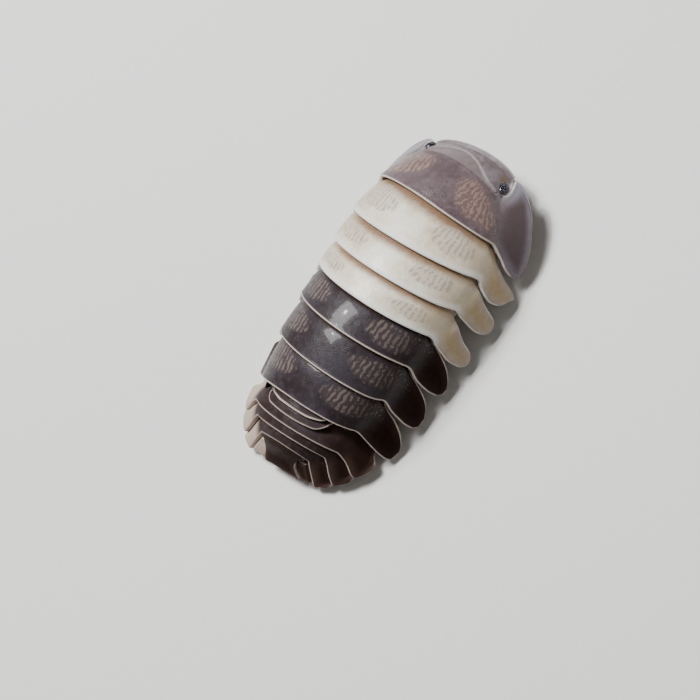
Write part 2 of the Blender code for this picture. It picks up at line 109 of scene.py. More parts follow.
def ridgeHeight(x):
    b = bodyShape
    reach = np.where(x > 0, b["frontReach"], b["rearReach"])
    power = np.where(x > 0, b["frontRound"], b["rearRound"])
    share = np.minimum(np.abs(x) / reach, 0.9999)
    return b["ridgeFoot"] + (b["ridgeTop"] - b["ridgeFoot"]) * (1 - share**power) ** b["ridgeFall"]


def sectionDrop(size):
    b = bodyShape
    dome = b["footDrop"] * (1 - np.cos(b["domeTurn"] * size / footAcross)) / (1 - math.cos(b["domeTurn"]))
    lobe = mix(b["footDrop"], 1.0, (size - footAcross) / (1 - footAcross))
    return np.where(size < footAcross, dome, lobe)


def shellPoint(place, across):
    # place counts the lines, across runs from -1 at the right tip to 1 at the left one
    b = bodyShape
    place, across = np.broadcast_arrays(np.asarray(place, float), np.asarray(across, float))
    size = np.abs(across)
    side = np.where(across < 0, -1.0, 1.0)
    ridgeX = lineValue(0, place)
    onLeft = np.where(across > 0, 1.0, 0.0)
    footOut = lineValue(2, place) + lineValue(7, place) * onLeft
    footX = ridgeX + lineValue(1, place) + lineValue(9, place) * onLeft
    lean = side * lineValue(6, place)
    onDome = np.minimum(size / footAcross, 1.0)
    domeY = footOut * np.sin(onDome * b["domeTurn"]) / math.sin(b["domeTurn"])
    domeX = mix(ridgeX, footX, onDome**2) - domeY * lean
    onLobe = np.clip((size - footAcross) / (1 - footAcross), 0.0, 1.2)
    past = place - collarLine
    bulge = np.where((past > 0) & (past < 1), np.sin(math.pi * past) * b["shieldBulge"], 0.0)
    lobeX = mix(footX - footOut * lean, lineValue(3, place), onLobe ** b["lobeCurve"])
    lobeY = mix(footOut, lineValue(4, place) + bulge + lineValue(8, place) * onLeft, onLobe)
    isDome = size < footAcross
    x = np.where(isDome, domeX, lobeX)
    y = np.where(isDome, domeY, lobeY)
    z = mix(ridgeHeight(ridgeX), lineValue(5, place), sectionDrop(size))
    return np.stack([x, side * y, z], -1)


def softPoint(place, across, spread=0.035):
    # the same form with the crease at the dome's foot rounded off
    place, across = np.broadcast_arrays(np.asarray(place, float), np.asarray(across, float))
    reach = spread * (1 - np.clip(np.abs(across), 0, 1) ** 12)
    total = 0.0
    for step, weight in ((-1.0, 0.12), (-0.5, 0.22), (0.0, 0.32), (0.5, 0.22), (1.0, 0.12)):
        total = total + shellPoint(place, across + reach * step) * weight
    return total


def unit(vectors):
    return vectors / np.maximum(np.linalg.norm(vectors, axis=-1, keepdims=True), 1e-12)


def shellNormal(place, across, step=0.012):
    place, across = np.broadcast_arrays(np.asarray(place, float), np.asarray(across, float))
    along = softPoint(place + step, across) - softPoint(place - step, across)
    near = np.clip(across, step - 1, 1 - step)
    sideways = softPoint(place, near + step) - softPoint(place, near - step)
    return unit(np.cross(sideways, along))


def turned(points):
    # both ends of the body bend a little to the left, and the middle moves to the origin
    b = bodyShape
    points = np.array(points, float)
    x, y = points[..., 0].copy(), points[..., 1].copy()
    newX, newY = x.copy(), y.copy()
    ends = (
        (1, b["frontTurnFrom"], b["frontTurnRate"], b["frontCross"]),
        (-1, b["rearTurnFrom"], b["rearTurnRate"], b["rearCross"]),
    )
    for way, start, rate, cross in ends:
        past = way * (x - start)
        angle = rate * past
        isPast = past > 0
        newX = np.where(isPast, start + way * (np.sin(angle) / rate - y * np.sin(angle * cross)), newX)
        newY = np.where(isPast, (1 - np.cos(angle)) / rate + y * np.cos(angle * cross), newY)
    points[..., 0] = newX - b["middleX"]
    points[..., 1] = newY
    return points


def bellyHeight(x):
    b = bodyShape
    return mix(b["bellyMiddle"], b["bellyEnd"], np.minimum(np.abs(x) / b["bellyReach"], 1.0) ** b["bellyRound"])


# Mesh makers

def gridFaces(rows, columns, start=0):
    faces = []
    for r in range(rows - 1):
        here = start + r * columns
        there = here + columns
        for c in range(columns - 1):
            faces.append((here + c, here + c + 1, there + c + 1, there + c))
    return faces


def joined(parts):
    # several lists of points and faces as one
    points = []
    faces = []
    base = 0
    for partPoints, partFaces in parts:
        partPoints = np.asarray(partPoints, float).reshape(-1, 3)
        points.append(partPoints)
        faces += [tuple(base + k for k in face) for face in partFaces]
        base += len(partPoints)
    return np.concatenate(points), faces


def newPiece(name, points, faces, material, notes=None, crisp=None):
    # points are in the unbent body's millimetres, and notes are colour guides kept on them
    mesh = bpy.data.meshes.new(name)
    mesh.from_pydata((turned(points) * mm).tolist(), [], faces)
    for noteName, values in (notes or {}).items():
        note = mesh.attributes.new(noteName, "FLOAT_VECTOR", "POINT")
        note.data.foreach_set("vector", np.asarray(values, np.float32).ravel())
    work = bmesh.new()
    work.from_mesh(mesh)
    bmesh.ops.remove_doubles(work, verts=work.verts, dist=0.0005 * mm)
    bmesh.ops.recalc_face_normals(work, faces=work.faces)
    work.to_mesh(mesh)
    work.free()
    mesh.materials.append(material)
    mesh.shade_smooth()
    if crisp:
        mesh.set_sharp_from_angle(angle=math.radians(crisp))
    piece = bpy.data.objects.new(name, mesh)
    bpy.context.collection.objects.link(piece)
    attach(piece, "root")
    return piece


def smoothRoute(knots, places):
    # a curve through every knot, read at the given places
    knots = np.asarray(knots, float)
    last = len(knots) - 1
    places = np.clip(places, 0, last)
    k = np.minimum(places.astype(int), last - 1)
    t = (places - k)[:, None]
    before = knots[np.maximum(k - 1, 0)]
    after = knots[np.minimum(k + 2, last)]
    slopeIn = (knots[k + 1] - before) / np.where(k > 0, 2.0, 1.0)[:, None]
    slopeOut = (after - knots[k]) / np.where(k + 2 <= last, 2.0, 1.0)[:, None]
    return (
        knots[k] * (2 * t**3 - 3 * t**2 + 1) + slopeIn * (t**3 - 2 * t**2 + t)
        + knots[k + 1] * (3 * t**2 - 2 * t**3) + slopeOut * (t**3 - t**2)
    )


def article(route, radii, sides=20, ends=(0.5, 0.5), flatten=1.0):
    # one link of a limb: a tube along its route with rounded ends, and the frames to set bristles on
    route = np.asarray(route, float)
    radii = np.asarray(radii, float)
    lengths = np.concatenate([[0.0], np.cumsum(np.linalg.norm(np.diff(route, axis=0), axis=1))])
    rings = 22
    turn = np.linspace(0, math.pi, rings)
    share = (1 - np.cos(turn)) / 2 * 0.7 + np.linspace(0, 1, rings) * 0.3
    at = share * lengths[-1]
    middle = np.stack([np.interp(at, lengths, route[:, k]) for k in range(3)], -1)
    radius = np.interp(at, lengths, radii)
    first = np.clip(at / (ends[0] * radii[0]), 0, 1)
    final = np.clip((lengths[-1] - at) / (ends[1] * radii[-1]), 0, 1)
    shown = radius * np.sqrt(np.maximum(1 - (1 - first) ** 2, 0)) * np.sqrt(np.maximum(1 - (1 - final) ** 2, 0))
    ahead = unit(np.gradient(middle, axis=0))
    side = np.cross(ahead, [0.35, 0.0, 1.0])
    side = unit(side)
    upward = np.cross(side, ahead)
    angle = np.linspace(0, 2 * math.pi, sides + 1)
    ring = side[:, None, :] * np.cos(angle)[None, :, None]
    ring = ring + upward[:, None, :] * np.sin(angle)[None, :, None] * flatten
    points = middle[:, None, :] + ring * shown[:, None, None]
    return points.reshape(-1, 3), gridFaces(rings, sides + 1), (middle, radius, side, upward, ahead)


def bristle(root, way, length, width):
    # a fine four-sided hair, slightly bent
    way = np.asarray(way, float) / np.linalg.norm(way)
    side = np.cross(way, [0.3, 0.5, 0.8])
    side = side / np.linalg.norm(side)
    other = np.cross(way, side)
    root = np.asarray(root, float) - way * width
    points = []
    for share in (0.0, 0.5):
        middle = root + way * length * share
        for c, s in ((1, 0), (0, 1), (-1, 0), (0, -1)):
            points.append(middle + (side * c + other * s) * width * (1 - share * 0.6))
    points.append(root + way * length + side * length * 0.08)
    faces = [(3, 2, 1, 0)]
    for k in range(4):
        after = (k + 1) % 4
        faces.append((k, after, 4 + after, 4 + k))
        faces.append((4 + k, 4 + after, 8))
    return np.array(points), faces


def roundForm(centre, axes, halfSizes, rings=14, sides=22):
    # an egg along three given axes
    rise = np.linspace(0, math.pi, rings)
    turn = np.linspace(0, 2 * math.pi, sides + 1)
    grid = (
        np.asarray(axes[0])[None, None, :] * halfSizes[0] * (np.sin(rise)[:, None] * np.cos(turn))[..., None]
        + np.asarray(axes[1])[None, None, :] * halfSizes[1] * (np.sin(rise)[:, None] * np.sin(turn))[..., None]
        + np.asarray(axes[2])[None, None, :] * halfSizes[2] * (np.cos(rise)[:, None] * np.ones_like(turn))[..., None]
    )
    return (np.asarray(centre) + grid).reshape(-1, 3), gridFaces(rings, sides + 1)


def edgeDistances(base):
    # how far each grid point lies from the front row, the rear row and the two side columns
    along = np.linalg.norm(np.diff(base, axis=0), axis=-1)
    fromFront = np.concatenate([np.zeros((1, base.shape[1])), np.cumsum(along, axis=0)])
    fromRear = fromFront[-1][None, :] - fromFront
    middle = base[base.shape[0] // 2]
    sideways = np.concatenate([[0.0], np.cumsum(np.linalg.norm(np.diff(middle, axis=0), axis=-1))])
    fromLeft = np.broadcast_to(sideways, fromRear.shape)
    fromRight = sideways[-1] - fromLeft
    return fromFront, fromRear, fromLeft, fromRight


def shellFromGrid(base, normal, lift, thick, edgeRound):
    # a thin closed shell about a grid, thinning to nothing along its rounded edge
    fromFront, fromRear, fromLeft, fromRight = edgeDistances(base)
    edge = np.minimum(np.minimum(fromFront, fromRear), np.minimum(fromLeft, fromRight))
    inner = np.minimum(edge / edgeRound, 1.0)
    half = thick / 2 * np.sqrt(np.maximum(1 - (1 - inner) ** 2, 0))
    centre = base + normal * (lift - thick / 2)[..., None]
    upper = centre + normal * half[..., None]
    lower = centre - normal * half[..., None]
    rows, columns = edge.shape
    points = np.concatenate([upper.reshape(-1, 3), lower.reshape(-1, 3)])
    faces = gridFaces(rows, columns)
    faces += [tuple(reversed(face)) for face in gridFaces(rows, columns, rows * columns)]
    place = np.stack([(fromRight - fromLeft) / 2, fromRear, edge], -1).reshape(-1, 3)
    return points, faces, np.concatenate([place, place])


def gridNormal(base):
    along = np.gradient(base, axis=0)
    sideways = np.gradient(base, axis=1)
    normal = unit(np.cross(along, sideways))
    return np.where(normal[..., 2:3] < 0, -normal, normal)


def evenly(count, bunch=0.5):
    # shares from 0 to 1, closer together near both ends
    straight = np.linspace(0, 1, count)
    return (1 - np.cos(straight * math.pi)) / 2 * bunch + straight * (1 - bunch)


# Materials, all made from nodes

class Recipe:
    # short calls for the nodes of one material
    def __init__(self, name, roughness):
        self.material = bpy.data.materials.new(name)
        self.material.use_nodes = True
        self.tree = self.material.node_tree
        self.shader = self.tree.nodes["Principled BSDF"]
        self.shader.inputs["Roughness"].default_value = roughness

    def put(self, kind, inputs, **settings):
        node = self.tree.nodes.new(kind)
        for key, value in settings.items():
            setattr(node, key, value)
        for key, value in inputs.items():
            if isinstance(value, bpy.types.NodeSocket):
                self.tree.links.new(value, node.inputs[key])
            else:
                node.inputs[key].default_value = value
        return node

    def note(self, name):
        # the three numbers of a colour guide
        node = self.put("ShaderNodeAttribute", {}, attribute_name=name)
        parts = self.put("ShaderNodeSeparateXYZ", {0: node.outputs["Vector"]})
        return node.outputs["Vector"], parts.outputs[0], parts.outputs[1], parts.outputs[2]

    def own(self):
        return self.put("ShaderNodeTexCoord", {}).outputs["Object"]

    def math(self, operation, *values):
        inputs = {k: value for k, value in enumerate(values)}
        return self.put("ShaderNodeMath", inputs, operation=operation).outputs[0]

    def fade(self, value, low, high, atLow=0.0, atHigh=1.0):
        # a soft step between two values
        inputs = {"Value": value, "From Min": low, "From Max": high, "To Min": atLow, "To Max": atHigh}
        return self.put("ShaderNodeMapRange", inputs, interpolation_type="SMOOTHSTEP").outputs[0]

    def blend(self, amount, a, b, way="MIX"):
        node = self.put("ShaderNodeMix", {}, data_type="RGBA", blend_type=way)
        for socket, value in ((node.inputs[0], amount), (node.inputs[6], a), (node.inputs[7], b)):
            if isinstance(value, bpy.types.NodeSocket):
                self.tree.links.new(value, socket)
            elif isinstance(value, tuple):
                socket.default_value = (*value, 1.0)
            else:
                socket.default_value = value
        return node.outputs[2]

    def noise(self, where, grain, detail=3.0, rough=0.55, bend=0.0):
        # grain is the size of one blotch in metres, or in the units of the coordinates given
        inputs = {"Vector": where, "Scale": 1 / grain, "Detail": detail, "Roughness": rough, "Distortion": bend}
        return self.put("ShaderNodeTexNoise", inputs).outputs[0]

    def cells(self, where, grain, feature="F1"):
        inputs = {"Vector": where, "Scale": 1 / grain}
        return self.put("ShaderNodeTexVoronoi", inputs, feature=feature).outputs["Distance"]

    def stripes(self, where, pitch, bend, bendGrain, detail=1.5):
        # bands across the first coordinate, pitch apart, made wavy
        inputs = {
            "Vector": where, "Scale": math.pi / 10 / pitch, "Distortion": bend,
            "Detail": detail, "Detail Scale": pitch / bendGrain * 3,
        }
        return self.put("ShaderNodeTexWave", inputs, wave_type="BANDS", bands_direction="X").outputs["Fac"]

    def bump(self, height, distance, strength=1.0, before=None):
        inputs = {"Height": height, "Distance": distance, "Strength": strength}
        if before:
            inputs["Normal"] = before
        return self.put("ShaderNodeBump", inputs).outputs[0]

    def finish(self, **sockets):
        for key, value in sockets.items():
            socket = self.shader.inputs[key.replace("_", " ")]
            if isinstance(value, bpy.types.NodeSocket):
                self.tree.links.new(value, socket)
            elif isinstance(value, tuple):
                socket.default_value = (*value, 1.0) if len(socket.default_value) == 4 else value
            else:
                socket.default_value = value
        return self.material


# The shells: colours, with painted shade in the lobes, the dome's sides and the front bands, and painted light on the
# left lobes and the white plates' rear bands; and the sizes of their markings in millimetres
shellLook = dict(
    grey=dict(
        base=(0.122, 0.088, 0.098), deep=(0.082, 0.055, 0.060), pale=(0.180, 0.138, 0.150),
        lobe=(0.100, 0.074, 0.078), lobeEdge=(0.210, 0.185, 0.215), rim=(0.740, 0.640, 0.570),
        mark=(0.275, 0.188, 0.155), ground=(0.150, 0.098, 0.090), front=(0.210, 0.178, 0.192),
        leftGlow=(0.300, 0.290, 0.320), rimWide=0.050, hairWide=0.055, frontWide=0.07, markAmount=0.80,
        patchAmount=0.8, gloss=0.34, glow=0.06, pitch=0.30, bend=6.0, rimAmount=1.0, specks=0.0, glowFar=0.8, shine=0.40, coat=0.16, sideTintAndShade=0.25, frontGlow=0.85,
    ),
    white=dict(
        base=(0.830, 0.775, 0.640), deep=(0.660, 0.565, 0.420), pale=(0.900, 0.870, 0.790),
        lobe=(0.380, 0.280, 0.160), lobeEdge=(0.380, 0.310, 0.255), rim=(0.860, 0.850, 0.820),
        mark=(0.300, 0.245, 0.205), ground=(0.540, 0.480, 0.400), front=(0.200, 0.105, 0.055),
        leftGlow=(0.700, 0.680, 0.640), rimWide=0.30, hairWide=0.065, frontWide=0.34, markAmount=0.60,
        patchAmount=0.6, gloss=0.30, glow=0.25, pitch=0.26, bend=3.4, rimAmount=0.55, specks=0.0, glowFar=1.0, shine=0.40, coat=0.20, sideTintAndShade=0.62, frontGlow=0.0,
    ),
    dark=dict(
        base=(0.045, 0.038, 0.046), deep=(0.026, 0.018, 0.020), pale=(0.070, 0.062, 0.074),
        lobe=(0.013, 0.005, 0.003), lobeEdge=(0.024, 0.012, 0.009), rim=(0.700, 0.590, 0.520),
        mark=(0.165, 0.130, 0.115), ground=(0.060, 0.046, 0.047), front=(0.026, 0.015, 0.012),
        leftGlow=(0.460, 0.370, 0.310), rimWide=0.080, hairWide=0.095, frontWide=0.16, markAmount=0.75,
        patchAmount=0.7, gloss=0.32, glow=0.03, pitch=0.26, bend=3.4, rimAmount=1.0, specks=0.7, glowFar=0.0, shine=0.10, coat=0.14, sideTintAndShade=0.60, frontGlow=0.0,
    ),
)

# The tail is browner and duller than the dark plates
tailChanges = dict(
    base=(0.046, 0.033, 0.036), deep=(0.028, 0.017, 0.016), pale=(0.072, 0.056, 0.060),
    lobe=(0.026, 0.013, 0.010), lobeEdge=(0.070, 0.042, 0.034), gloss=0.46, shine=0.03, coat=0.02,
    rim=(0.520, 0.430, 0.380),
)


def makeShell(name, look):
    r = Recipe(name, look["gloss"])
    place, outward, fromRear, edge = r.note("shellPlace")
    spot, across, along, down = r.note("shellSpot")
    mark, markAcross, markAlong, far = r.note("shellMark")
    own = r.own()
    broad = r.noise(own, 1.6 * mm, 3.0)
    middling = r.noise(own, 0.30 * mm, 4.0, 0.6)
    fine = r.noise(own, 0.05 * mm, 3.0, 0.6)
    # plain ground, mottled
    colour = r.blend(r.fade(broad, 0.35, 0.68), look["deep"], look["base"])
    colour = r.blend(r.fade(middling, 0.42, 0.74, 0.0, 0.45), colour, look["pale"])
    # a band where the plate comes out from beneath the one before: on the white and dark plates a darker brown, partly
    # the thin shell's own tone and partly painted shade cast by the rim before; on the grey first plate a paler margin
    front = r.fade(r.math("ADD", along, r.math("MULTIPLY", middling, 0.08)), look["frontWide"], look["frontWide"] * 0.25, 0.0, 0.92)
    colour = r.blend(front, colour, look["front"])
    # a patch of wavy bands
    ragged = r.math("ADD", far, r.math("MULTIPLY", r.math("SUBTRACT", middling, 0.5), 0.8))
    patch = r.fade(ragged, 1.10, 0.80)
    colour = r.blend(r.math("MULTIPLY", patch, look["patchAmount"]), colour, look["ground"])
    bands = r.fade(r.stripes(mark, look["pitch"], look["bend"], 0.30), 0.30, 0.76)
    breaks = r.fade(r.noise(mark, 0.33, 2.0), 0.36, 0.50)
    marks = r.math("MULTIPLY", r.math("MULTIPLY", bands, patch), r.math("MULTIPLY", breaks, look["markAmount"]))
    colour = r.blend(marks, colour, look["mark"])
    # the sides of the dome turn warmer and darker towards the lobes: partly their own tone, partly painted shade
    side = r.fade(r.math("ABSOLUTE", across), 0.30, 0.62, 0.0, look["sideTintAndShade"])
    colour = r.blend(side, colour, look["lobe"])
    # side lobes, in a darker colour that is partly their own tone and partly painted shade, thinner and paler towards
    # their edge
    onLobe = r.fade(down, 0.0, 0.45)
    lobe = r.blend(r.fade(edge, 0.55, 0.08), look["lobe"], look["lobeEdge"])
    lobe = r.blend(r.fade(middling, 0.3, 0.8, 0.0, 0.25), lobe, look["deep"])
    lobe = r.blend(r.fade(along, 0.26, 0.02, 0.0, look["frontGlow"]), lobe, look["leftGlow"])
    # painted light: the far, left side's lobes, of the tail and the first plate above all, are painted paler, as if
    # the light from the left shone through them
    leftLobeLight = r.math("MULTIPLY", r.fade(across, 0.56, 0.70), r.fade(far, 3.0, 6.0, look["glowFar"], 1.0))
    lobe = r.blend(leftLobeLight, lobe, look["leftGlow"])
    colour = r.blend(onLobe, colour, lobe)
    # amber specks towards the front of each side
    specks = r.fade(r.noise(own, 0.085 * mm, 2.0), 0.58, 0.68)
    specks = r.math("MULTIPLY", specks, r.math("MULTIPLY", r.fade(along, 0.55, 0.25), r.fade(down, 0.5, 0.1)))
    specks = r.math("MULTIPLY", specks, r.fade(r.math("ABSOLUTE", across), 0.44, 0.56, 0.0, look["specks"]))
    colour = r.blend(r.math("MULTIPLY", specks, r.fade(broad, 0.42, 0.56)), colour, (0.200, 0.130, 0.080))
    # pale rims: along the rear and round the lobes, the edges' own pale colour; on the white plates the wide soft band
    # along the rear is partly painted light
    rear = r.fade(fromRear, look["rimWide"] * 1.3, look["rimWide"] * 0.45, 0.0, look["rimAmount"])
    rear = r.math("MULTIPLY", rear, r.fade(down, 0.30, 0.0))
    hair = look["hairWide"]
    line = r.fade(edge, hair, hair * 0.45)
    hairline = r.math("MULTIPLY", line, r.fade(down, 0.0, 0.2))
    rearLine = r.fade(fromRear, hair, hair * 0.45)
    rim = r.math("MAXIMUM", rear, r.math("MAXIMUM", hairline, rearLine))
    rim = r.math("MULTIPLY", rim, r.fade(fine, 0.2, 0.6, 0.75, 1.0))
    colour = r.blend(rim, colour, look["rim"])
    # fine grain, like minute overlapping scales
    grain = r.cells(own, 0.040 * mm)
    dents = r.bump(r.noise(own, 0.20 * mm, 4.0, 0.6), 0.018 * mm, 0.7)
    dents = r.bump(grain, 0.008 * mm, 0.9, dents)
    gloss = r.fade(r.noise(own, 0.09 * mm, 3.0), 0.3, 0.7, look["gloss"] - 0.07, look["gloss"] + 0.10)
    shine = r.fade(down, 0.0, 0.35, look["shine"], look["shine"] * 0.15)
    coat = r.fade(down, 0.0, 0.35, look["coat"], 0.0)
    r.finish(
        Base_Color=colour, Roughness=gloss, Normal=dents, IOR=1.5, Specular_IOR_Level=shine,
        Subsurface_Weight=look["glow"], Subsurface_Radius=(1.0, 0.62, 0.42), Subsurface_Scale=0.35 * mm,
        Coat_Weight=coat, Coat_Roughness=0.10,
    )
    return r.material


# The head: plain top with a tan neck band, a pale line in front of it and a pale front ridge
headColours = dict(
    base=(0.168, 0.138, 0.152), deep=(0.115, 0.084, 0.092), pale=(0.235, 0.204, 0.220),
    neck=(0.185, 0.145, 0.142), line=(0.400, 0.350, 0.350), ridge=(0.600, 0.550, 0.540),
    eyeSide=(0.120, 0.075, 0.035), cheek=(0.400, 0.385, 0.410), face=(0.300, 0.235, 0.205),
)


def makeHeadLook():
    c = headColours
    r = Recipe("headShell", 0.34)
    marks, neck, line, ridge = r.note("headMarks")
    sides, eyeSide, face, cheek = r.note("headSides")
    own = r.own()
    middling = r.noise(own, 0.28 * mm, 4.0, 0.6)
    colour = r.blend(r.fade(r.noise(own, 1.1 * mm, 3.0), 0.35, 0.68), c["deep"], c["base"])
    colour = r.blend(r.fade(middling, 0.42, 0.74, 0.0, 0.6), colour, c["pale"])
    colour = r.blend(eyeSide, colour, c["eyeSide"])
    colour = r.blend(cheek, colour, c["cheek"])
    colour = r.blend(neck, colour, c["neck"])
    colour = r.blend(face, colour, c["face"])
    colour = r.blend(line, colour, c["line"])
    colour = r.blend(ridge, colour, c["ridge"])
    dents = r.bump(r.noise(own, 0.18 * mm, 4.0, 0.6), 0.016 * mm, 0.7)
    dents = r.bump(r.cells(own, 0.040 * mm), 0.008 * mm, 0.9, dents)
    gloss = r.fade(r.noise(own, 0.09 * mm, 3.0), 0.3, 0.7, 0.27, 0.44)
    r.finish(
        Base_Color=colour, Roughness=gloss, Normal=dents, IOR=1.5,
        Subsurface_Weight=0.08, Subsurface_Radius=(1.0, 0.62, 0.42), Subsurface_Scale=0.30 * mm,
        Coat_Weight=0.15, Coat_Roughness=0.16,
    )
    return r.material


limbLook = dict(
    body=(0.560, 0.480, 0.400), bodyDeep=(0.330, 0.250, 0.210), leg=(0.500, 0.410, 0.330),
    legDeep=(0.230, 0.150, 0.115), claw=(0.160, 0.075, 0.040), lung=(0.860, 0.850, 0.820),
)


def makeLimb(name, ground, deep, gloss, glow):
    r = Recipe(name, gloss)
    own = r.own()
    colour = r.blend(r.fade(r.noise(own, 0.5 * mm, 4.0, 0.6), 0.35, 0.7), deep, ground)
    colour = r.blend(r.fade(r.cells(own, 0.10 * mm), 0.2, 0.7, 0.0, 0.3), colour, deep)
    dents = r.bump(r.noise(own, 0.12 * mm, 4.0, 0.6), 0.012 * mm, 0.8)
    r.finish(
        Base_Color=colour, Normal=dents, Subsurface_Weight=glow,
        Subsurface_Radius=(1.0, 0.55, 0.35), Subsurface_Scale=0.30 * mm,
    )
    return r.material


def makeEyeLook():
    r = Recipe("eyeBead", 0.08)
    own = r.own()
    colour = r.blend(r.fade(r.noise(own, 0.12 * mm, 2.0), 0.35, 0.7), (0.004, 0.005, 0.012), (0.020, 0.022, 0.045))
    r.finish(Base_Color=colour, IOR=1.55, Coat_Weight=0.5, Coat_Roughness=0.05)
    return r.material


print("stage: materials")
greyShell = makeShell("greyShell", shellLook["grey"])
whiteShell = makeShell("whiteShell", shellLook["white"])
darkShell = makeShell("darkShell", shellLook["dark"])
tailShell = makeShell("tailShell", {**shellLook["dark"], **tailChanges})
softSkin = makeLimb("softSkin", limbLook["body"], limbLook["bodyDeep"], 0.42, 0.25)
legSkin = makeLimb("legSkin", limbLook["leg"], limbLook["legDeep"], 0.36, 0.20)
clawHorn = makeLimb("clawHorn", limbLook["claw"], limbLook["legDeep"], 0.25, 0.0)
lungSkin = makeLimb("lungSkin", limbLook["lung"], limbLook["body"], 0.45, 0.3)
eyeBead = makeEyeLook()
headShell = makeHeadLook()


# Back plates: each one an overlapping shell with a rounded edge all round

plateLook = dict(
    rows=40, columns=300, thick=0.20, lobeThick=0.30, tipThick=0.22,
    edgeRound=0.10, rimRise=0.05, frontTuck=0.21, lobeTuck=0.22,
    rimBead=0.030, rimBeadWide=0.16, endDive=0.26, endDiveFrom=0.74,
)
# The lobes' outlines, read at shares of the way across: the front edge in millimetres behind the
# line before, and the rear edge in millimetres behind the plate's own line
lobeFront = {
    "pereonite_1": ((0.40, 0.03), (0.48, -0.12), (0.54, -0.32), (0.60, -0.34), (0.66, -0.24), (0.73, -0.06),
                    (0.79, -0.04), (0.84, -0.10), (0.88, -0.15), (0.92, 0.02), (0.946, 0.32), (0.979, 0.66)),
    "pereonite_2": ((0.62, -0.34), (0.70, -0.10), (0.78, 0.13), (0.875, 0.17), (0.93, 0.12), (0.988, 0.06)),
    "pereonite_3": ((0.62, -0.34), (0.66, -0.02), (0.693, 0.13), (0.742, 0.33), (0.817, 0.55), (0.896, 0.70),
                    (0.955, 0.80), (0.986, 0.85)),
    "pereonite_4": ((0.60, -0.34), (0.63, -0.12), (0.672, 0.0), (0.722, 0.16), (0.793, 0.37), (0.858, 0.54),
                    (0.914, 0.62), (0.962, 0.71), (0.990, 0.76)),
    "pereonite_5": ((0.60, -0.34), (0.646, -0.06), (0.758, 0.03), (0.874, 0.27), (0.963, 0.61), (0.991, 0.72)),
    "pereonite_6": ((0.60, -0.34), (0.693, -0.03), (0.803, 0.05), (0.912, 0.28), (0.975, 0.54), (1.001, 0.66)),
    "pereonite_7": ((0.60, -0.34), (0.70, -0.06), (0.82, 0.05), (0.93, 0.28), (1.00, 0.52), (1.033, 0.64)),
    "pleonite_1": ((0.0, -0.34), (0.30, -0.34), (0.52, -0.40)),
    "pleonite_2": ((0.0, -0.34), (0.30, -0.34), (0.50, -0.85), (0.60, -0.90)),
    "pleonite_3": ((0.28, -0.34), (0.46, -0.75), (0.60, -0.95), (0.80, -0.92), (0.86, -0.60), (0.90, -0.16),
                   (0.94, 0.02), (0.977, 0.22)),
    "pleonite_4": ((0.60, -0.30), (0.88, -0.14), (0.95, 0.18), (0.98, 0.34), (1.012, 0.46)),
    "pleonite_5": ((0.60, -0.26), (0.94, -0.10), (1.00, 0.14), (1.039, 0.34)),
}
lobeRear = {
    "pereonite_1": ((0.50, -0.03), (0.58, -0.04), (0.69, -0.06), (0.76, -0.02), (0.82, 0.04), (0.88, 0.03),
                    (0.925, -0.06), (0.955, -0.24), (0.979, -0.50)),
    "pereonite_2": ((0.50, -0.03), (0.62, -0.05), (0.653, -0.06), (0.694, 0.07), (0.748, 0.17), (0.824, 0.24),
                    (0.909, 0.15), (0.95, 0.02), (0.988, -0.10)),
    "pereonite_3": ((0.50, -0.03), (0.60, -0.08), (0.647, -0.14), (0.701, -0.08), (0.776, -0.05), (0.859, -0.03),
                    (0.922, -0.11), (0.986, -0.26)),
    "pereonite_4": ((0.50, -0.03), (0.628, -0.03), (0.683, 0.02), (0.751, 0.05), (0.829, 0.07), (0.902, -0.01),
                    (0.953, -0.12), (0.990, -0.22)),
    "pereonite_5": ((0.50, -0.03), (0.644, -0.03), (0.74, 0.04), (0.855, -0.01), (0.952, -0.17), (0.991, -0.27)),
    "pereonite_6": ((0.45, -0.03), (0.52, -0.06), (0.614, -0.15), (0.738, -0.07), (0.857, -0.08), (0.952, -0.18),
                    (1.001, -0.28)),
    "pereonite_7": ((0.40, -0.03), (0.52, -0.08), (0.64, -0.15), (0.771, -0.09), (0.904, -0.02), (0.998, -0.10),
                    (1.033, -0.18)),
    "pleonite_1": ((0.0, -0.03),),
    "pleonite_2": ((0.0, -0.03),),
    "pleonite_3": ((0.50, -0.03), (0.70, 0.0), (0.80, 0.10), (0.92, 0.26), (0.977, 0.28)),
    "pleonite_4": ((0.50, -0.03), (0.70, 0.0), (0.80, 0.08), (0.95, 0.17), (1.012, 0.18)),
    "pleonite_5": ((0.50, -0.03), (0.90, -0.02), (1.015, 0.0), (1.039, 0.0)),
}
# The lobes' rounded tips: how far back the rounding starts, and where the tip lies from front to rear
lobeTip = {
    "pereonite_1": (0.034, 0.50), "pereonite_2": (0.052, 0.28), "pereonite_3": (0.052, 0.48),
    "pereonite_4": (0.046, 0.50), "pereonite_5": (0.054, 0.50), "pereonite_6": (0.056, 0.50),
    "pereonite_7": (0.050, 0.50), "pleonite_3": (0.034, 0.60), "pleonite_4": (0.034, 0.60),
    "pleonite_5": (0.030, 0.60),
}
# The narrow rings: where their rear edge starts to slip under the plate before, where it is right
# under, how far under, and how far out they reach
narrowEnds = {"pleonite_1": (0.14, 0.47, 0.14, 0.52), "pleonite_2": (0.24, 0.57, 0.55, 0.60)}
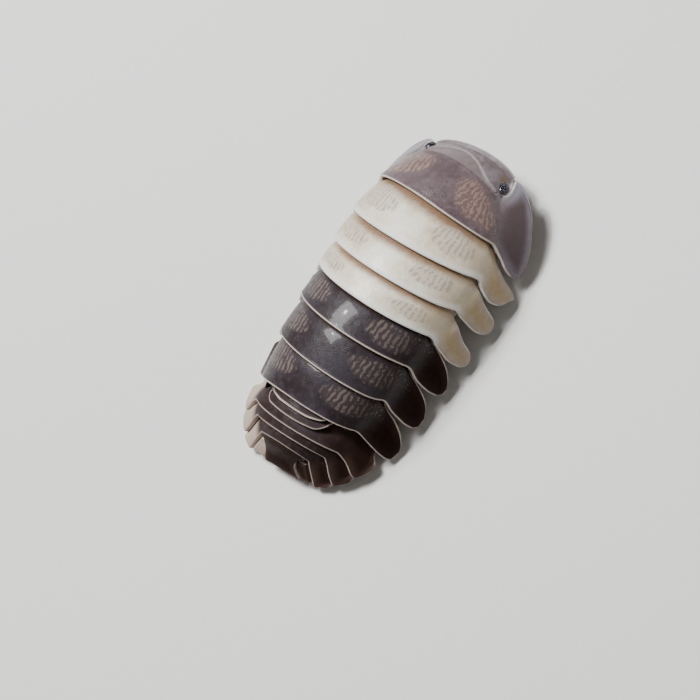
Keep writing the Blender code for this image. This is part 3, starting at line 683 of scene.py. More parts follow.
# Patches of wavy bands either side of the ridge: middle and half-size across and along the plate,
# how far the outer end slants back, and how much the bands fan out towards the rear
markLook = {
    "pereonite_1": dict(across=0.35, halfAcross=0.25, along=0.50, halfAlong=0.34, slant=0.35, fan=0.9, left=0.07),
    "pereonite_2": dict(across=0.34, halfAcross=0.20, along=0.40, halfAlong=0.30, slant=0.10, fan=0.3, left=0.0),
    "pereonite_3": dict(across=0.35, halfAcross=0.18, along=0.40, halfAlong=0.26, slant=0.05, fan=0.2, left=0.0),
    "pereonite_4": dict(across=0.37, halfAcross=0.17, along=0.50, halfAlong=0.24, slant=0.05, fan=0.2, left=0.0),
    "pereonite_5": dict(across=0.37, halfAcross=0.20, along=0.44, halfAlong=0.34, slant=0.25, fan=0.2, left=0.0),
    "pereonite_6": dict(across=0.42, halfAcross=0.22, along=0.42, halfAlong=0.28, slant=0.10, fan=0.2, left=0.0),
    "pereonite_7": dict(across=0.38, halfAcross=0.24, along=0.32, halfAlong=0.28, slant=0.0, fan=0.2, left=0.0),
}
noMark = dict(across=0.4, halfAcross=0.01, along=-3.0, halfAlong=0.01, slant=0.0, fan=0.0, left=0.0)


def edgeCurve(knots, size):
    # a smooth line through the knots that never swings past them
    at, value = np.array(knots).T
    if len(at) == 1:
        return np.full_like(size, value[0])
    step = np.diff(value) / np.diff(at)
    same = step[1:] * step[:-1] > 0
    total = np.where(same, step[1:] + step[:-1], 1.0)
    inner = np.where(same, 2 * step[1:] * step[:-1] / total, 0.0)
    slope = np.concatenate([step[:1], inner, step[-1:]])
    k = np.clip(np.searchsorted(at, size) - 1, 0, len(at) - 2)
    wide = at[k + 1] - at[k]
    t = np.clip((size - at[k]) / wide, 0, 1)
    return (
        value[k] * (1 + 2 * t) * (1 - t) ** 2 + slope[k] * wide * t * (1 - t) ** 2
        + value[k + 1] * t**2 * (3 - 2 * t) - slope[k + 1] * wide * t**2 * (1 - t)
    )


def plateOutline(name):
    # each column's front and rear edge in millimetres behind the line before, from left tip to right tip
    look = plateLook
    line = lineNames.index(name)
    reach = narrowEnds[name][3] if name in narrowEnds else lobeFront[name][-1][0]
    across = (1 - 2 * evenly(look["columns"], 0.75)) * reach
    size = np.abs(across)
    before = softPoint(np.full_like(across, line - 1.0), across)
    pitch = np.linalg.norm(softPoint(np.full_like(across, float(line)), across) - before, axis=-1)
    front = edgeCurve(lobeFront[name], size)
    rear = pitch + edgeCurve(lobeRear[name], size)
    if name in narrowEnds:
        slipFrom, slipTo, under, reach = narrowEnds[name]
        rear = mix(rear, -under, ease((size - slipFrom) / (slipTo - slipFrom)))
    else:
        roundFrom, tipAt = lobeTip[name]
        close = 1 - np.sqrt(1 - np.clip((size - reach + roundFrom) / roundFrom, 0, 0.999) ** 2)
        tip = mix(front, rear, tipAt)
        front, rear = mix(front, tip, close), mix(rear, tip, close)
    return line, across, pitch, front, rear


def platePoint(line, across, pitch, behind):
    # a point so many millimetres behind the line before; in front of that line the plate runs straight on
    shown = np.maximum(behind, 0.0)
    hidden = np.minimum(behind, 0.0)
    place = line - 1 + shown / pitch
    start = np.full_like(across, line - 1.0)
    ahead = start - 0.25 * (line - 1 > collarLine)
    way = unit(softPoint(ahead + 0.25, across) - softPoint(ahead, across))
    return softPoint(place, across) + way * hidden[..., None], shellNormal(place, across), place


def makePlate(name, material):
    look = plateLook
    line, across, pitch, front, rear = plateOutline(name)
    share = evenly(look["rows"], 0.6)
    behind = front[None, :] + (rear - front)[None, :] * share[:, None]
    wide = np.broadcast_to(across, behind.shape)
    pitch = np.broadcast_to(pitch, behind.shape)
    base, normal, place = platePoint(line, wide, pitch, behind)
    down = np.clip((np.abs(wide) - footAcross) / (1 - footAcross), 0, 1)
    # the front is tucked under the plate before, and the rear rim stands proud
    along = place - (line - 1)
    rise = along ** 0.55
    hidden = np.maximum(-behind, 0)
    lift = mix(-look["frontTuck"], look["rimRise"], rise) - hidden * 0.30
    covered = ease(1 - front / 0.25)
    onLobe = mix(look["rimRise"] * 0.4 - look["lobeTuck"] * covered, look["rimRise"], ease(rise)) - hidden * 0.15
    lift = mix(lift, onLobe, ease(down * 2.5))
    fromFront, fromRear, fromLeft, fromRight = edgeDistances(base)
    if name == "pereonite_1":
        # the first plate's front margin lies over the head as a soft raised rim
        lift = mix(0.02, look["rimRise"], rise) + 0.03 * np.exp(-((fromFront - 0.12) / 0.10) ** 2)
        lift = lift - 0.015 * np.exp(-((fromFront - 0.38) / 0.14) ** 2)
    lift = lift + look["rimBead"] * ease(1 - fromRear / look["rimBeadWide"]) * (1 - ease(down * 2))
    if name in narrowEnds:
        # the narrow rings dip at both ends
        toEnd = np.abs(wide) / narrowEnds[name][3]
        lift = lift - look["endDive"] * ease((toEnd - look["endDiveFrom"]) / (1 - look["endDiveFrom"]))
    thick = mix(mix(look["thick"], look["lobeThick"], ease(down * 4)), look["tipThick"], down)
    points, faces, shellPlace = shellFromGrid(base, normal, lift, thick, look["edgeRound"])
    # guides for the colour: place on the plate, and place in the patch of wavy bands
    spot = np.stack([wide, along, down], -1).reshape(-1, 3)
    m = markLook.get(name, noMark)
    size = np.abs(wide)
    markAcross = m["across"] + np.where(wide > 0, m["left"], 0.0)
    slanted = along - m["slant"] * (size - markAcross)
    far = np.hypot((size - markAcross) / m["halfAcross"], (slanted - m["along"]) / m["halfAlong"])
    outward = (fromRight - fromLeft) / 2
    half = len(across) // 2
    middle = np.interp(markAcross, np.abs(across[:half])[::-1], outward[0][:half][::-1])
    sideways = np.abs(outward) - middle
    spread = 1 + m["fan"] * (0.5 - (slanted - m["along"]) / m["halfAlong"] * 0.5)
    mark = np.stack([sideways * spread + 3.0 * np.sign(wide) + line * 1.7, -fromRear, far], -1).reshape(-1, 3)
    notes = {
        "shellPlace": shellPlace, "shellSpot": np.concatenate([spot, spot]),
        "shellMark": np.concatenate([mark, mark]),
    }
    piece = newPiece(name + "_plate", points, faces, material, notes)
    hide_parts(name)


print("stage: back plates")
shellOf = {
    "pereonite_1": (greyShell, "shell_grey"), "pereonite_2": (whiteShell, "shell_white"),
    "pereonite_3": (whiteShell, "shell_white"), "pereonite_4": (whiteShell, "shell_white"),
}
ringNames = lineNames[collarLine + 1:]
for plateName in ringNames:
    plain = tailShell if plateName.startswith("pleonite") else darkShell
    plateMaterial, plateSlot = shellOf.get(plateName, (plain, "shell_dark"))
    makePlate(plateName, plateMaterial)


# Soft body: one closed skin beneath all the plates

softBody = dict(
    rowsEach=10, columns=90, sideAcross=0.70, sink=0.24, lobeSink=0.34, ringSink=0.30, ringNarrow=0.24, middleHeight=0.8, sideRise=0.10, sideRound=4,
    belowLobe=0.9, follow=0.8, footThick=0.50, footIn=0.30, crease=0.10, coxa=0.10,
)
legRootX = (5.30, 3.62, 1.86, 0.50, -0.90, -2.45, -4.10)


def bellyPoint(place, share):
    # the underside, share -1 to 1 across between the feet of the dome
    b = softBody
    side = np.where(share < 0, -1.0, 1.0)
    foot = softPoint(place, side * footAcross)
    footNormal = shellNormal(place, side * footAcross)
    under = foot - footNormal * b["footThick"]
    ridge = shellPoint(place, side * 0.0)
    lowest = bellyHeight(foot[..., 0])
    sideZ = np.maximum(lowest + b["sideRise"], under[..., 2] - b["belowLobe"])
    size = np.abs(share)
    y = side * np.minimum(np.abs(under[..., 1]), np.abs(foot[..., 1]) - b["footIn"]) * size
    x = mix(ridge[..., 0], foot[..., 0], b["follow"])
    z = mix(lowest, sideZ, size ** b["sideRound"])
    part = place - np.floor(place)
    z = z + b["crease"] * (0.5 + 0.5 * np.cos(2 * math.pi * part)) ** 4 * (1 - size**3)
    for rootX in legRootX:
        near = ((x - rootX) / 0.45) ** 2 + ((np.abs(y) - 1.95) / 0.42) ** 2
        z = z - b["coxa"] * np.exp(-near)
    return np.stack([x, y, z], -1)


def makeSoftBody():
    b = softBody
    rows = (tailLine - collarLine) * b["rowsEach"] + 1
    place = np.linspace(collarLine + 0.05, tailLine - 0.02, rows)
    top = np.linspace(b["sideAcross"], -b["sideAcross"], b["columns"])
    # beneath the two narrow rings it lies deeper and is narrower
    onRings = ease((place - tailLine + 5.4) / 0.5) * ease((tailLine - 1.0 - place) / 0.6)
    wide = top[None, :] * (1 - b["ringNarrow"] * onRings)[:, None]
    placeGrid = np.broadcast_to(place[:, None], wide.shape)
    normal = shellNormal(placeGrid, wide)
    down = np.clip((np.abs(wide) - footAcross) / (1 - footAcross), 0, 1)
    onRings = onRings[:, None] * ease((np.abs(wide) - 0.25) / 0.2)
    sink = mix(b["sink"], b["lobeSink"], ease(down * 4)) + b["ringSink"] * onRings
    upper = softPoint(placeGrid, wide)
    around = unit(upper * np.array([0.0, 1.0, 1.0]) - np.array([0.0, 0.0, b["middleHeight"]]))
    upper = upper - unit(mix(normal, around, onRings[..., None])) * sink[..., None]
    share = np.linspace(-1, 1, b["columns"])
    lower = bellyPoint(np.broadcast_to(place[:, None], wide.shape), np.broadcast_to(share, wide.shape))
    # the sides: from the upper skin's edge in and down to the belly's edge
    steps = np.linspace(0, 1, 8)[1:-1]
    def sideStrip(start, end, outward):
        strip = []
        for step in steps:
            bow = math.sin(math.pi * step) * 0.10
            strip.append(mix(start, end, step) + np.array([0.0, outward * bow, -bow * 0.3]))
        return strip
    right = sideStrip(upper[:, -1], lower[:, 0], -1.0)
    left = sideStrip(lower[:, -1], upper[:, 0], 1.0)
    ring = [upper[:, k] for k in range(b["columns"])] + right
    ring += [lower[:, k] for k in range(b["columns"])] + left
    ring.append(upper[:, 0])
    grid = np.stack(ring, 1)
    count = grid.shape[1]
    faces = gridFaces(rows, count)
    faces.append(tuple(range(count - 1)))
    faces.append(tuple(reversed(range((rows - 1) * count, rows * count - 1))))
    piece = newPiece("soft_body", grid.reshape(-1, 3), faces, softSkin)
    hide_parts(*ringNames)


print("stage: soft body")
makeSoftBody()


# Head: a cap with a ridge along its front, a sloping face, mouthparts, eyes and feelers

headLook = dict(
    rows=84, faceRows=36, columns=241, reach=1.28, frontReach=1.10,
    tuckPlace=1.14, tuck=0.16, sideTuckFrom=0.82, ridgeRise=0.09, ridgeWide=0.10, faceRound=0.8, floorRear=6.05,
    mouthX=6.85, mouthHeight=0.80, cheekOut=1.45, faceBulge=0.12,
    neckMiddle=0.47, neckSpread=0.45, neckSlip=0.08, neckReach=0.46,
)


def neckPlace(across):
    # the line across the head in front of the neck band
    h = headLook
    return h["neckMiddle"] + h["neckSpread"] * ease(np.abs(across - h["neckSlip"]) / h["neckReach"])


def headTop(share, across):
    # share 0 beneath the first plate, 1 on the front ridge
    h = headLook
    place = mix(h["tuckPlace"], 0.0, share)
    behind = place - neckPlace(across)
    tuckFrom = mix(1.0, h["sideTuckFrom"], ease((np.abs(across) - 0.40) / 0.12))
    lift = -0.035 * ease(behind / 0.12) - h["tuck"] * ease((place - tuckFrom) / 0.12)
    lift = lift + 0.018 * np.exp(-(behind / 0.035) ** 2)
    lift = lift + h["ridgeRise"] * np.exp(-((place - 0.03) / h["ridgeWide"]) ** 2)
    lift = lift - 0.02 * np.exp(-((place - 0.20) / 0.07) ** 2) - 0.09 * ease((np.abs(across) / footAcross - 0.98) / 0.20)
    return softPoint(place, across, 0.02) + shellNormal(place, across) * lift[..., None], place, behind


def headFloor(share, part):
    # part -1 to 1 across, left positive
    h = headLook
    share, part = np.broadcast_arrays(share, part)
    x = mix(h["floorRear"], h["mouthX"], share ** h["faceRound"])
    return np.stack([x, h["cheekOut"] * part, np.full_like(x, h["mouthHeight"])], -1)


def facePoint(upper, lower, t, part):
    # from the ridge down to the mouth, with a broad swelling, a lip plate and two sockets
    h = headLook
    forward = unit(np.array([0.86, 0.0, -0.50]))
    point = mix(upper, lower, t[..., None])
    bow = np.sin(math.pi * np.clip(t, 0, 1)) ** 0.8 * h["faceBulge"] * (1 - np.abs(part) ** 4)
    groove = -0.07 * np.exp(-((t - 0.10) / 0.05) ** 2) * (1 - np.abs(part) ** 6)
    lip = 0.12 * np.exp(-((t - 0.74) / 0.12) ** 2) * np.exp(-(part / 0.28) ** 4)
    lip = lip + 0.06 * np.exp(-((t - 0.93) / 0.06) ** 2) * np.exp(-(part / 0.22) ** 4)
    away = ((point[..., 2] - 1.07) / 0.24) ** 2 + ((np.abs(point[..., 1]) - 0.78) / 0.30) ** 2
    socket = -0.16 * np.exp(-away**2) + 0.06 * np.exp(-((np.sqrt(away) - 1.35) / 0.25) ** 2)
    jaw = 0.08 * np.exp(-((t - 0.9) / 0.12) ** 2) * np.exp(-((np.abs(part) - 0.5) / 0.16) ** 2)
    return point + forward * (bow + groove + lip + socket + jaw)[..., None]


def makeHead():
    h = headLook
    part = np.linspace(1, -1, h["columns"])
    share = np.linspace(0, 1, h["rows"])
    shareGrid, partGrid = np.meshgrid(share, part, indexing="ij")
    acrossGrid = partGrid * footAcross * mix(h["reach"], h["frontReach"], ease(shareGrid * 1.25))
    top, place, behind = headTop(shareGrid, acrossGrid)
    steps = np.linspace(0, 1, h["faceRows"])
    stepGrid, partGrid = np.meshgrid(steps, part, indexing="ij")
    face = facePoint(top[-1][None], headFloor(1.0, part)[None], stepGrid, partGrid)
    face[0] = top[-1]
    floor = headFloor(share[:, None], part[None, :])
    floor[-1] = face[-1]
    rear = mix(top[0][None], floor[0][None], steps[:, None, None])
    grids = [top, face, floor, rear]
    for edge, outward in ((0, 1.0), (-1, -1.0)):
        strip = mix(top[:, edge][:, None], floor[:, edge][:, None], steps[None, :, None])
        bow = np.sin(math.pi * steps)[None, :] * 0.10 * (1 - share[:, None] ** 8) * np.minimum(share[:, None] * 8, 1)
        strip = strip + np.array([0.0, outward, -0.2]) * bow[..., None]
        strip[-1] = face[:, edge]
        grids.append(strip)
    points, faces = joined([(grid, gridFaces(*grid.shape[:2])) for grid in grids])
    count = top.shape[0] * top.shape[1]
    marks = np.zeros((len(points), 3))
    sides = np.zeros((len(points), 3))
    marks[:count, 0] = ease((behind.ravel() + 0.01) / 0.08) * 0.6
    marks[:count, 1] = np.exp(-(behind.ravel() / 0.035) ** 2) * 0.45
    marks[:count, 2] = np.exp(-((place.ravel() - 0.03) / 0.035) ** 2) * 0.7
    nearEye = np.hypot((place - 0.42) / 0.30, (np.abs(acrossGrid) - 0.50) / 0.09)
    sides[:count, 0] = ease(1.25 - nearEye.ravel()) * 0.75
    sides[:count, 2] = ease((np.abs(acrossGrid.ravel()) / footAcross - 0.94) / 0.10) * 0.7
    sides[count:, 1] = 1.0
    sides[count:count + h["columns"] * 3, 1] = 0.4
    piece = newPiece("head_skin", points, faces, headShell, {"headMarks": marks, "headSides": sides})
    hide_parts("head")


eyeLook = dict(
    place=0.60, across=0.54, halfSize=(0.27, 0.18, 0.16), sink=0.02,
    beadSize=0.040, beadSpace=0.074, rows=5, perRow=7,
)


def eyeFrame(side):
    e = eyeLook
    place, across = np.array([e["place"]]), np.array([side * e["across"]])
    normal = shellNormal(place, across)[0]
    along = unit(np.array([1.0, 0, 0]) - normal * normal[0])
    upward = np.cross(normal, along)
    centre = softPoint(place, across)[0] - normal * e["sink"]
    return centre, along, upward, normal


def makeEyes():
    e = eyeLook
    for side, label in ((1, "left"), (-1, "right")):
        centre, along, upward, normal = eyeFrame(side)
        a, b, c = e["halfSize"]
        parts = [roundForm(centre, (along, upward, normal), (a * 0.95, b * 0.92, c * 0.86), 24, 40)]
        half = (e["rows"] - 1) / 2
        for row in range(e["rows"]):
            for k in range(-e["perRow"], e["perRow"] + 1):
                u = (k + (row % 2) * 0.5) * e["beadSpace"]
                v = (row - half) * e["beadSpace"] * 0.87
                inside = (u / (a * 0.92)) ** 2 + (v / (b * 0.92)) ** 2
                if inside < 0.93:
                    w = c * 0.86 * math.sqrt(1 - inside * 0.97)
                    spot = centre + along * u + upward * v + normal * w
                    parts.append(roundForm(spot, (along, upward, normal), (e["beadSize"],) * 3, 9, 12))
        points, faces = joined(parts)
        piece = newPiece("eye_" + label + "_beads", points, faces, eyeBead)
        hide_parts("eye_" + label)


antennaLook = dict(
    route=(
        (7.05, 0.72, 1.00), (7.10, 1.02, 0.76), (6.86, 1.50, 0.52), (6.46, 2.02, 0.38),
        (5.92, 2.42, 0.33), (5.22, 2.66, 0.32), (4.50, 2.70, 0.32),
    ),
    radii=(0.20, 0.20, 0.20, 0.20, 0.18, 0.14, 0.09),
    # where each link ends, counted in knots of the route
    joints=(0.0, 0.55, 1.10, 1.75, 2.75, 4.05, 4.80, 5.80), tipFrom=5.74, hairs=26,
)


def makeAntennae():
    a = antennaLook
    for side, label in ((1, "left"), (-1, "right")):
        knots = [(x, side * y, z) for x, y, z in a["route"]]
        radii = np.array(a["radii"])
        parts = []
        rng = np.random.default_rng(11 if side > 0 else 12)
        for start, end in zip(a["joints"][:-1], a["joints"][1:]):
            places = np.linspace(start, end + 0.05, 24)
            route = smoothRoute(knots, places)
            radius = np.interp(places, range(len(radii)), radii)
            share = np.linspace(0, 1, 24)
            radius = radius * (0.84 + 0.14 * ease(share * 1.3))
            points, faces, frames = article(route, radius, 24, (0.45, 0.35))
            parts.append((points, faces))
            middle, shown, sideWay, upWay, ahead = frames
            for _ in range(a["hairs"]):
                k = rng.integers(4, len(middle) - 2)
                turn = rng.uniform(0, 2 * math.pi)
                out = sideWay[k] * math.cos(turn) + upWay[k] * math.sin(turn)
                root = middle[k] + out * shown[k] * 0.96
                parts.append(bristle(root, out * 0.5 + ahead[k], 0.07, 0.008))
        tip = smoothRoute(knots, np.linspace(a["tipFrom"], 6.0, 8))
        parts.append(article(tip, np.linspace(0.045, 0.012, 8), 10, (0.5, 0.8))[:2])
        points, faces = joined(parts)
        piece = newPiece("antenna_" + label + "_links", points, faces, legSkin)
        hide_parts("antenna_" + label)


def makeMouth():
    # jaw-feet: two broad plates with small tips, below the head, and jaws in front of them
    parts = []
    for side in (1, -1):
        base = []
        for r in np.linspace(0, 1, 16):
            row = []
            for c in np.linspace(0, 1, 12):
                half = 0.52 * (1 - 0.55 * r**3)
                row.append((mix(6.02, 6.86, r), side * (0.03 + c * half), 0.80 - 0.06 * math.sin(math.pi * r) - 0.03 * r))
            base.append(row)
        base = np.array(base)
        normal = np.broadcast_to(np.array([0.0, 0.0, 1.0]), base.shape)
        points, faces, _ = shellFromGrid(base, normal, np.full(base.shape[:2], 0.05), np.full(base.shape[:2], 0.13), 0.08)
        parts.append((points, faces))
        for k, (x, y) in enumerate(((6.90, 0.14), (6.88, 0.30), (6.80, 0.44))):
            route = np.linspace((x - 0.16, side * y, 0.79), (x + 0.05, side * (y - 0.02), 0.83), 8)
            parts.append(article(route, np.linspace(0.06, 0.03, 8), 10)[:2])
        route = np.linspace((6.70, side * 0.62, 0.84), (7.04, side * 0.20, 0.86), 10)
        parts.append(article(route, np.linspace(0.17, 0.09, 10), 16)[:2])
    points, faces = joined(parts)
    newPiece("mouthparts", points, faces, legSkin)


print("stage: head, eyes, feelers and mouth")
makeHead()
makeEyes()
makeAntennae()
makeMouth()


# Tail: the hourglass end plate, the flat plates beside it, and the gill plates below

tailLook = dict(
    gap=0.12, endX=-7.82, endHeight=0.70, baseAcross=0.50, waist=0.78, endHalf=0.92, endArch=0.08, slip=-0.16,
    bulge=0.12, rimThin=1.5, waistPower=0.76, thick=0.24, baseDrop=0.065, tuckBack=0.22,
    sideEndX=-7.78, sideEndHeight=0.58, sideFrom=0.10, sideAcross=(0.614, 0.97),
    sideClear=(-0.10, -0.06, 0.0), sideBulge=0.10, sideThick=0.22,
)
tailOut = np.array([-0.8, 0.0, 0.6])


def tailLinePoint(across, drop, endX, endY, endZ, share):
    base = shellPoint(np.full_like(share, float(tailLine)), across) + np.stack(
        [np.full_like(share, -tailLook["gap"]), 0 * share, -drop + 0 * share], -1
    )
    end = np.stack([endX + 0 * share, endY + 0 * share, endZ + 0 * share], -1)
    return base, end, mix(base, end, share[..., None])


def makeTelson():
    t = tailLook
    rows, columns = 40, 61
    share = np.linspace(-t["tuckBack"], 1, rows)
    c = -np.linspace(-1, 1, columns)
    shareGrid, cGrid = np.meshgrid(share, c, indexing="ij")
    endZ = t["endHeight"] - t["endArch"] * cGrid**2
    base, end, point = tailLinePoint(
        cGrid * t["baseAcross"], t["baseDrop"], t["endX"], cGrid * t["endHalf"], endZ, shareGrid
    )
    bow = np.sin(math.pi * np.clip(shareGrid, 0, 1) ** t["waistPower"])
    wide = mix(np.abs(base[..., 1]), np.abs(end[..., 1]), shareGrid)
    wide = mix(wide, t["waist"] * np.abs(cGrid), bow)
    # the rear corners are rounded off
    corner = np.clip((shareGrid - 0.86) / 0.14, 0, 1)
    wide = wide * (1 - 0.16 * (1 - np.sqrt(np.maximum(1 - corner**2, 0))) * np.abs(cGrid) ** 3)
    point[..., 1] = np.sign(cGrid) * wide + t["slip"] * np.clip(shareGrid, 0, 1)
    point = point + tailOut * (t["bulge"] * bow)[..., None]
    point[..., 2] = point[..., 2] - 0.10 * np.clip(-shareGrid / t["tuckBack"], 0, 1)
    normal = gridNormal(point)
    lift = np.full(shareGrid.shape, 0.0)
    thick = np.full(shareGrid.shape, t["thick"])
    points, faces, place = shellFromGrid(point, normal, lift, thick, 0.09)
    spot = np.stack([cGrid * 0.5, np.clip(shareGrid, 0, 1), np.clip(shareGrid * 1.2 - 0.2, 0, 1)], -1).reshape(-1, 3)
    far = np.full((len(place), 3), 9.0)
    notes = {"shellPlace": place, "shellSpot": np.concatenate([spot, spot]), "shellMark": far}
    place[:, 2:] *= t["rimThin"]
    piece = newPiece("telson_plate", points, faces, tailShell, notes)
    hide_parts("telson")
    # its soft underside
    core = point - normal * (t["thick"] * 0.7)
    low = np.minimum(mix(0.85, core[..., 2] - 0.12, np.clip(shareGrid, 0, 1) ** 0.7), core[..., 2] - 0.02)
    floor = np.stack([core[..., 0], core[..., 1] * 0.9, low], -1)
    inner = slice(3, -3)
    top, under = core[inner, inner] * 1.0, floor[inner, inner] * 1.0
    top[..., 1] *= 0.9
    n, m = top.shape[:2]
    parts = [(top.reshape(-1, 3), gridFaces(n, m)), (under.reshape(-1, 3), gridFaces(n, m))]
    for a, b in ((top[0], under[0]), (top[-1], under[-1]), (top[:, 0], under[:, 0]), (top[:, -1], under[:, -1])):
        parts.append((np.stack([a, b]).reshape(-1, 3), gridFaces(2, len(a))))
    points, faces = joined(parts)
    piece = newPiece("telson_under", points, faces, softSkin)
    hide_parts("telson")


def sidePlatePoint(side, across, share):
    t = tailLook
    lobeAcross = mix(t["sideAcross"][0], t["sideAcross"][1], share)
    outer = shellPoint(np.full_like(share, float(tailLine)), lobeAcross) + np.array(t["sideClear"])
    bow = np.sin(math.pi * np.clip(share, 0, 1) ** t["waistPower"])
    base, end, inner = tailLinePoint(
        t["baseAcross"] + 0 * share, 0.13, t["sideEndX"], t["endHalf"] + t["gap"], t["sideEndHeight"], share
    )
    inner[..., 1] = mix(mix(base[..., 1], end[..., 1], share), t["waist"], bow) + t["slip"] * side * share - 0.10
    inner = inner + tailOut * (t["sideBulge"] * bow)[..., None]
    point = mix(inner, outer, across[..., None])
    point[..., 1] *= side
    return point


def makeUropods():
    t = tailLook
    rows, columns = 36, 30
    for side, label in ((1, "left"), (-1, "right")):
        share = np.linspace(t["sideFrom"], 1.0, rows)
        across = np.linspace(0.0, 1.16, columns)
        shareGrid, acrossGrid = np.meshgrid(share, across, indexing="ij")
        narrow = 1 - 0.22 * (1 - np.sqrt(np.maximum(1 - np.clip((shareGrid - 0.86) / 0.14, 0, 1) ** 2, 0)))
        point = sidePlatePoint(side, acrossGrid * narrow, shareGrid)
        normal = gridNormal(point)
        lift = -0.03 - 0.16 * ease(1 - acrossGrid / 0.22) - 0.14 * ease((acrossGrid - 0.92) / 0.2)
        thick = np.full(shareGrid.shape, t["sideThick"])
        points, faces, place = shellFromGrid(point, normal, lift, thick, 0.08)
        spot = np.stack([side * (0.6 + 0.3 * shareGrid), shareGrid, 0.3 + 0.7 * shareGrid], -1).reshape(-1, 3)
        far = np.full((len(place), 3), 9.0)
        notes = {"shellPlace": place, "shellSpot": np.concatenate([spot, spot]), "shellMark": far}
        place[:, 2:] *= t["rimThin"]
        piece = newPiece("uropod_" + label + "_plate", points, faces, tailShell, notes)
        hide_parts("uropod_" + label)
        # the stem beneath and the short inner branch
        parts = []
        stem = smoothRoute([(-6.80, side * 1.0, 0.95), (-7.15, side * 1.12, 0.74), (-7.55, side * 1.18, 0.58)], np.linspace(0, 2, 14))
        parts.append(article(stem, np.linspace(0.26, 0.20, 14), 20, (0.6, 0.8), 0.7)[:2])
        branch = smoothRoute([(-6.85, side * 0.52, 0.80), (-7.25, side * 0.48, 0.62), (-7.66, side * 0.42, 0.56)], np.linspace(0, 2, 14))
        parts.append(article(branch, np.linspace(0.14, 0.08, 14), 16, (0.6, 0.8))[:2])
        points, faces = joined(parts)
        piece = newPiece("uropod_" + label + "_stem", points, faces, legSkin)
        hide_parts("uropod_" + label)


def makeGills():
    # five pairs of plates that overlap like tiles, the first two with white lungs
    for pair in range(5):
        for side, label in ((1, "left"), (-1, "right")):
            rows, columns = 22, 26
            r, c = np.meshgrid(np.linspace(0, 1, rows), np.linspace(0, 1, columns), indexing="ij")
            startX = -5.02 - pair * 0.36
            length = 0.78 - pair * 0.03
            half = (1.35 - pair * 0.16) * np.sqrt(np.maximum(1 - (r * 0.98) ** 3, 0.0))
            x = startX - r * length + 0.10 * c**2
            y = side * (0.04 + c * half)
            z = 0.98 - pair * 0.022 - r * 0.17 + 0.10 * c**2
            base = np.stack([x, y, z], -1)
            normal = gridNormal(base)
            points, faces, _ = shellFromGrid(base, normal, np.zeros(r.shape), np.full(r.shape, 0.09), 0.07)
            material = lungSkin if pair < 2 else softSkin
            newPiece("gill_%d_%s" % (pair + 1, label), points, faces, material)


print("stage: tail")
makeTelson()
makeUropods()
makeGills()


# Legs: seven pairs of jointed limbs with claws, feet on the floor

legLook = dict(
    reach=(0.85, 0.65, 0.35, 0.0, -0.35, -0.70, -0.90),
    footOut=(2.05, 2.20, 2.50, 2.55, 2.55, 2.45, 2.20),
    rootOut=1.90, kneeOut=1.15, reachShares=(0.3, 0.7), outShares=(0.42, 0.84),
    kneeHeight=0.88, shinHeight=0.58, ankleHeight=0.26, rootUp=0.16,
    # each link: from, to (in knots of the route), widths at both ends
    links=(
        (0.00, 1.02, 0.25, 0.25), (0.95, 1.45, 0.24, 0.25), (1.38, 2.02, 0.23, 0.25),
        (1.95, 2.62, 0.21, 0.22), (2.56, 3.62, 0.19, 0.15),
    ),
    clawFrom=3.52, spines=9,
)


def legRoute(index, side):
    leg = legLook
    rootX = legRootX[index]
    reach = leg["reach"][index]
    footOut = leg["footOut"][index]
    top = float(bellyHeight(np.array([rootX]))[0]) + leg["rootUp"]
    knots = [
        (rootX, leg["rootOut"], top), (rootX, leg["kneeOut"], leg["kneeHeight"]),
        (rootX + reach * leg["reachShares"][0], mix(leg["kneeOut"], footOut, leg["outShares"][0]), leg["shinHeight"]),
        (rootX + reach * leg["reachShares"][1], mix(leg["kneeOut"], footOut, leg["outShares"][1]), leg["ankleHeight"]),
        (rootX + reach, footOut, 0.0),
    ]
    return np.array([(x, side * y, z) for x, y, z in knots])


def makeLegs():
    leg = legLook
    for index in range(7):
        for side, label in ((1, "left"), (-1, "right")):
            knots = legRoute(index, side)
            rng = np.random.default_rng(100 + index * 2 + (side > 0))
            parts = []
            for number, (start, end, wide, narrow) in enumerate(leg["links"]):
                places = np.linspace(start, end, 20)
                route = smoothRoute(knots, places)
                share = np.linspace(0, 1, 20)
                radius = mix(wide, narrow, share) * (0.80 + 0.20 * np.sin(math.pi * np.minimum(share * 0.75 + 0.1, 1)))
                points, faces, frames = article(route, radius, 22, (0.5, 0.4))
                parts.append((points, faces))
                middle, shown, sideWay, upWay, ahead = frames
                count = leg["spines"] if number else 4
                for _ in range(count):
                    k = rng.integers(5, len(middle) - 2)
                    turn = rng.uniform(-1.1, 1.1) + math.pi * 1.5
                    out = sideWay[k] * math.cos(turn) + upWay[k] * math.sin(turn)
                    root = middle[k] + out * shown[k] * 0.95
                    parts.append(bristle(root, out * 0.9 + ahead[k] * 0.7, 0.11, 0.013))
            points, faces = joined(parts)
            points[:, 2] = np.maximum(points[:, 2], 0.01)
            name = "leg_%d_%s" % (index + 1, label)
            piece = newPiece(name + "_links", points, faces, legSkin)
            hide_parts(name)
            clawStart = smoothRoute(knots, np.array([leg["clawFrom"]]))[0]
            foot = knots[-1]
            bend = mix(clawStart, foot, 0.55) + np.array([0.0, side * 0.05, 0.05])
            claw = smoothRoute([clawStart, bend, foot], np.linspace(0, 2, 12))
            points, faces, _ = article(claw, np.array([0.11, 0.115, 0.115, 0.11, 0.10, 0.095, 0.09, 0.08, 0.07, 0.06, 0.055, 0.05]), 14, (0.6, 0.4))
            points[:, 2] = np.maximum(points[:, 2], 0.0)
            piece = newPiece(name + "_claw", points, faces, clawHorn)
            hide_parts(name)


print("stage: legs")
makeLegs()


# Camera at the photo's angle, soft lights and a pale floor

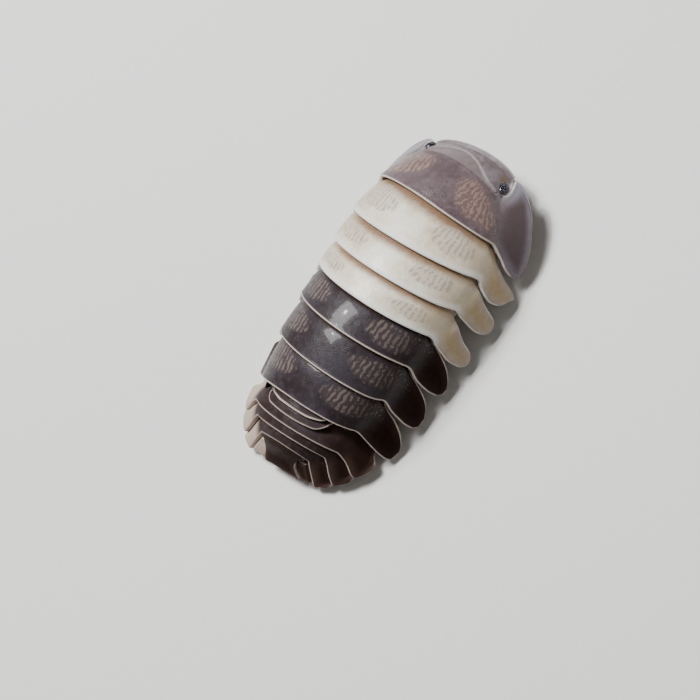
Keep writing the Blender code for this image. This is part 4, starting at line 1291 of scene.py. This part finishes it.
cameraView = dict(
    azimuth=4.7698, elevation=64.2689, roll=59.6815, distance=93.8855,
    aim=(-1.9617, -0.0674, 2.0), lens=120.482,
)


def makeCamera():
    v = cameraView
    a, e = math.radians(v["azimuth"]), math.radians(v["elevation"])
    back = Vector((math.sin(a) * math.cos(e), -math.cos(a) * math.cos(e), math.sin(e)))
    level = Vector((0, 0, 1)).cross(back).normalized()
    upright = back.cross(level)
    r = math.radians(v["roll"])
    right = level * math.cos(r) - upright * math.sin(r)
    up = level * math.sin(r) + upright * math.cos(r)
    camera = bpy.data.objects.new("camera", bpy.data.cameras.new("camera"))
    bpy.context.collection.objects.link(camera)
    turn = Matrix((right, up, back)).transposed().to_4x4()
    camera.matrix_world = Matrix.Translation((Vector(v["aim"]) + back * v["distance"]) * mm) @ turn
    camera.data.sensor_width = 36
    camera.data.lens = v["lens"]
    camera.data.clip_start = 5 * mm
    camera.data.clip_end = 2.0
    bpy.context.scene.camera = camera


studio = dict(
    floorSize=600, floorColour=(0.80, 0.79, 0.77), worldColour=(1.0, 0.99, 0.97), worldStrength=0.08,
    keyPlace=(25, 74, 150), keySize=60, keyPower=0.48,
    sparkPlace=(25, 74, 150), sparkSize=6, sparkPower=0.09,
    fillPlace=(60, -90, 60), fillSize=90, fillPower=0.015,
)


def areaLight(name, place, size, power, colour=(1, 1, 1)):
    data = bpy.data.lights.new(name, "AREA")
    data.shape = "SQUARE"
    data.size = size * mm
    data.energy = power
    data.color = colour
    light = bpy.data.objects.new(name, data)
    bpy.context.collection.objects.link(light)
    light.location = Vector(place) * mm
    light.rotation_mode = "QUATERNION"
    light.rotation_quaternion = Vector(place).to_track_quat("Z", "Y")
    return light


def makeStudio():
    s = studio
    mesh = bpy.data.meshes.new("floor")
    half = s["floorSize"] / 2 * mm
    mesh.from_pydata([(-half, -half, 0), (half, -half, 0), (half, half, 0), (-half, half, 0)], [], [(0, 1, 2, 3)])
    floor = bpy.data.objects.new("floor", mesh)
    bpy.context.collection.objects.link(floor)
    mesh.materials.append(Recipe("paleFloor", 0.7).finish(Base_Color=s["floorColour"]))
    world = bpy.data.worlds.new("studio")
    bpy.context.scene.world = world
    world.use_nodes = True
    world.node_tree.nodes["Background"].inputs["Color"].default_value = (*s["worldColour"], 1)
    world.node_tree.nodes["Background"].inputs["Strength"].default_value = s["worldStrength"]
    areaLight("key", s["keyPlace"], s["keySize"], s["keyPower"])
    areaLight("spark", s["sparkPlace"], s["sparkSize"], s["sparkPower"])
    areaLight("fill", s["fillPlace"], s["fillSize"], s["fillPower"])


print("stage: camera and lights")
makeCamera()
makeStudio()
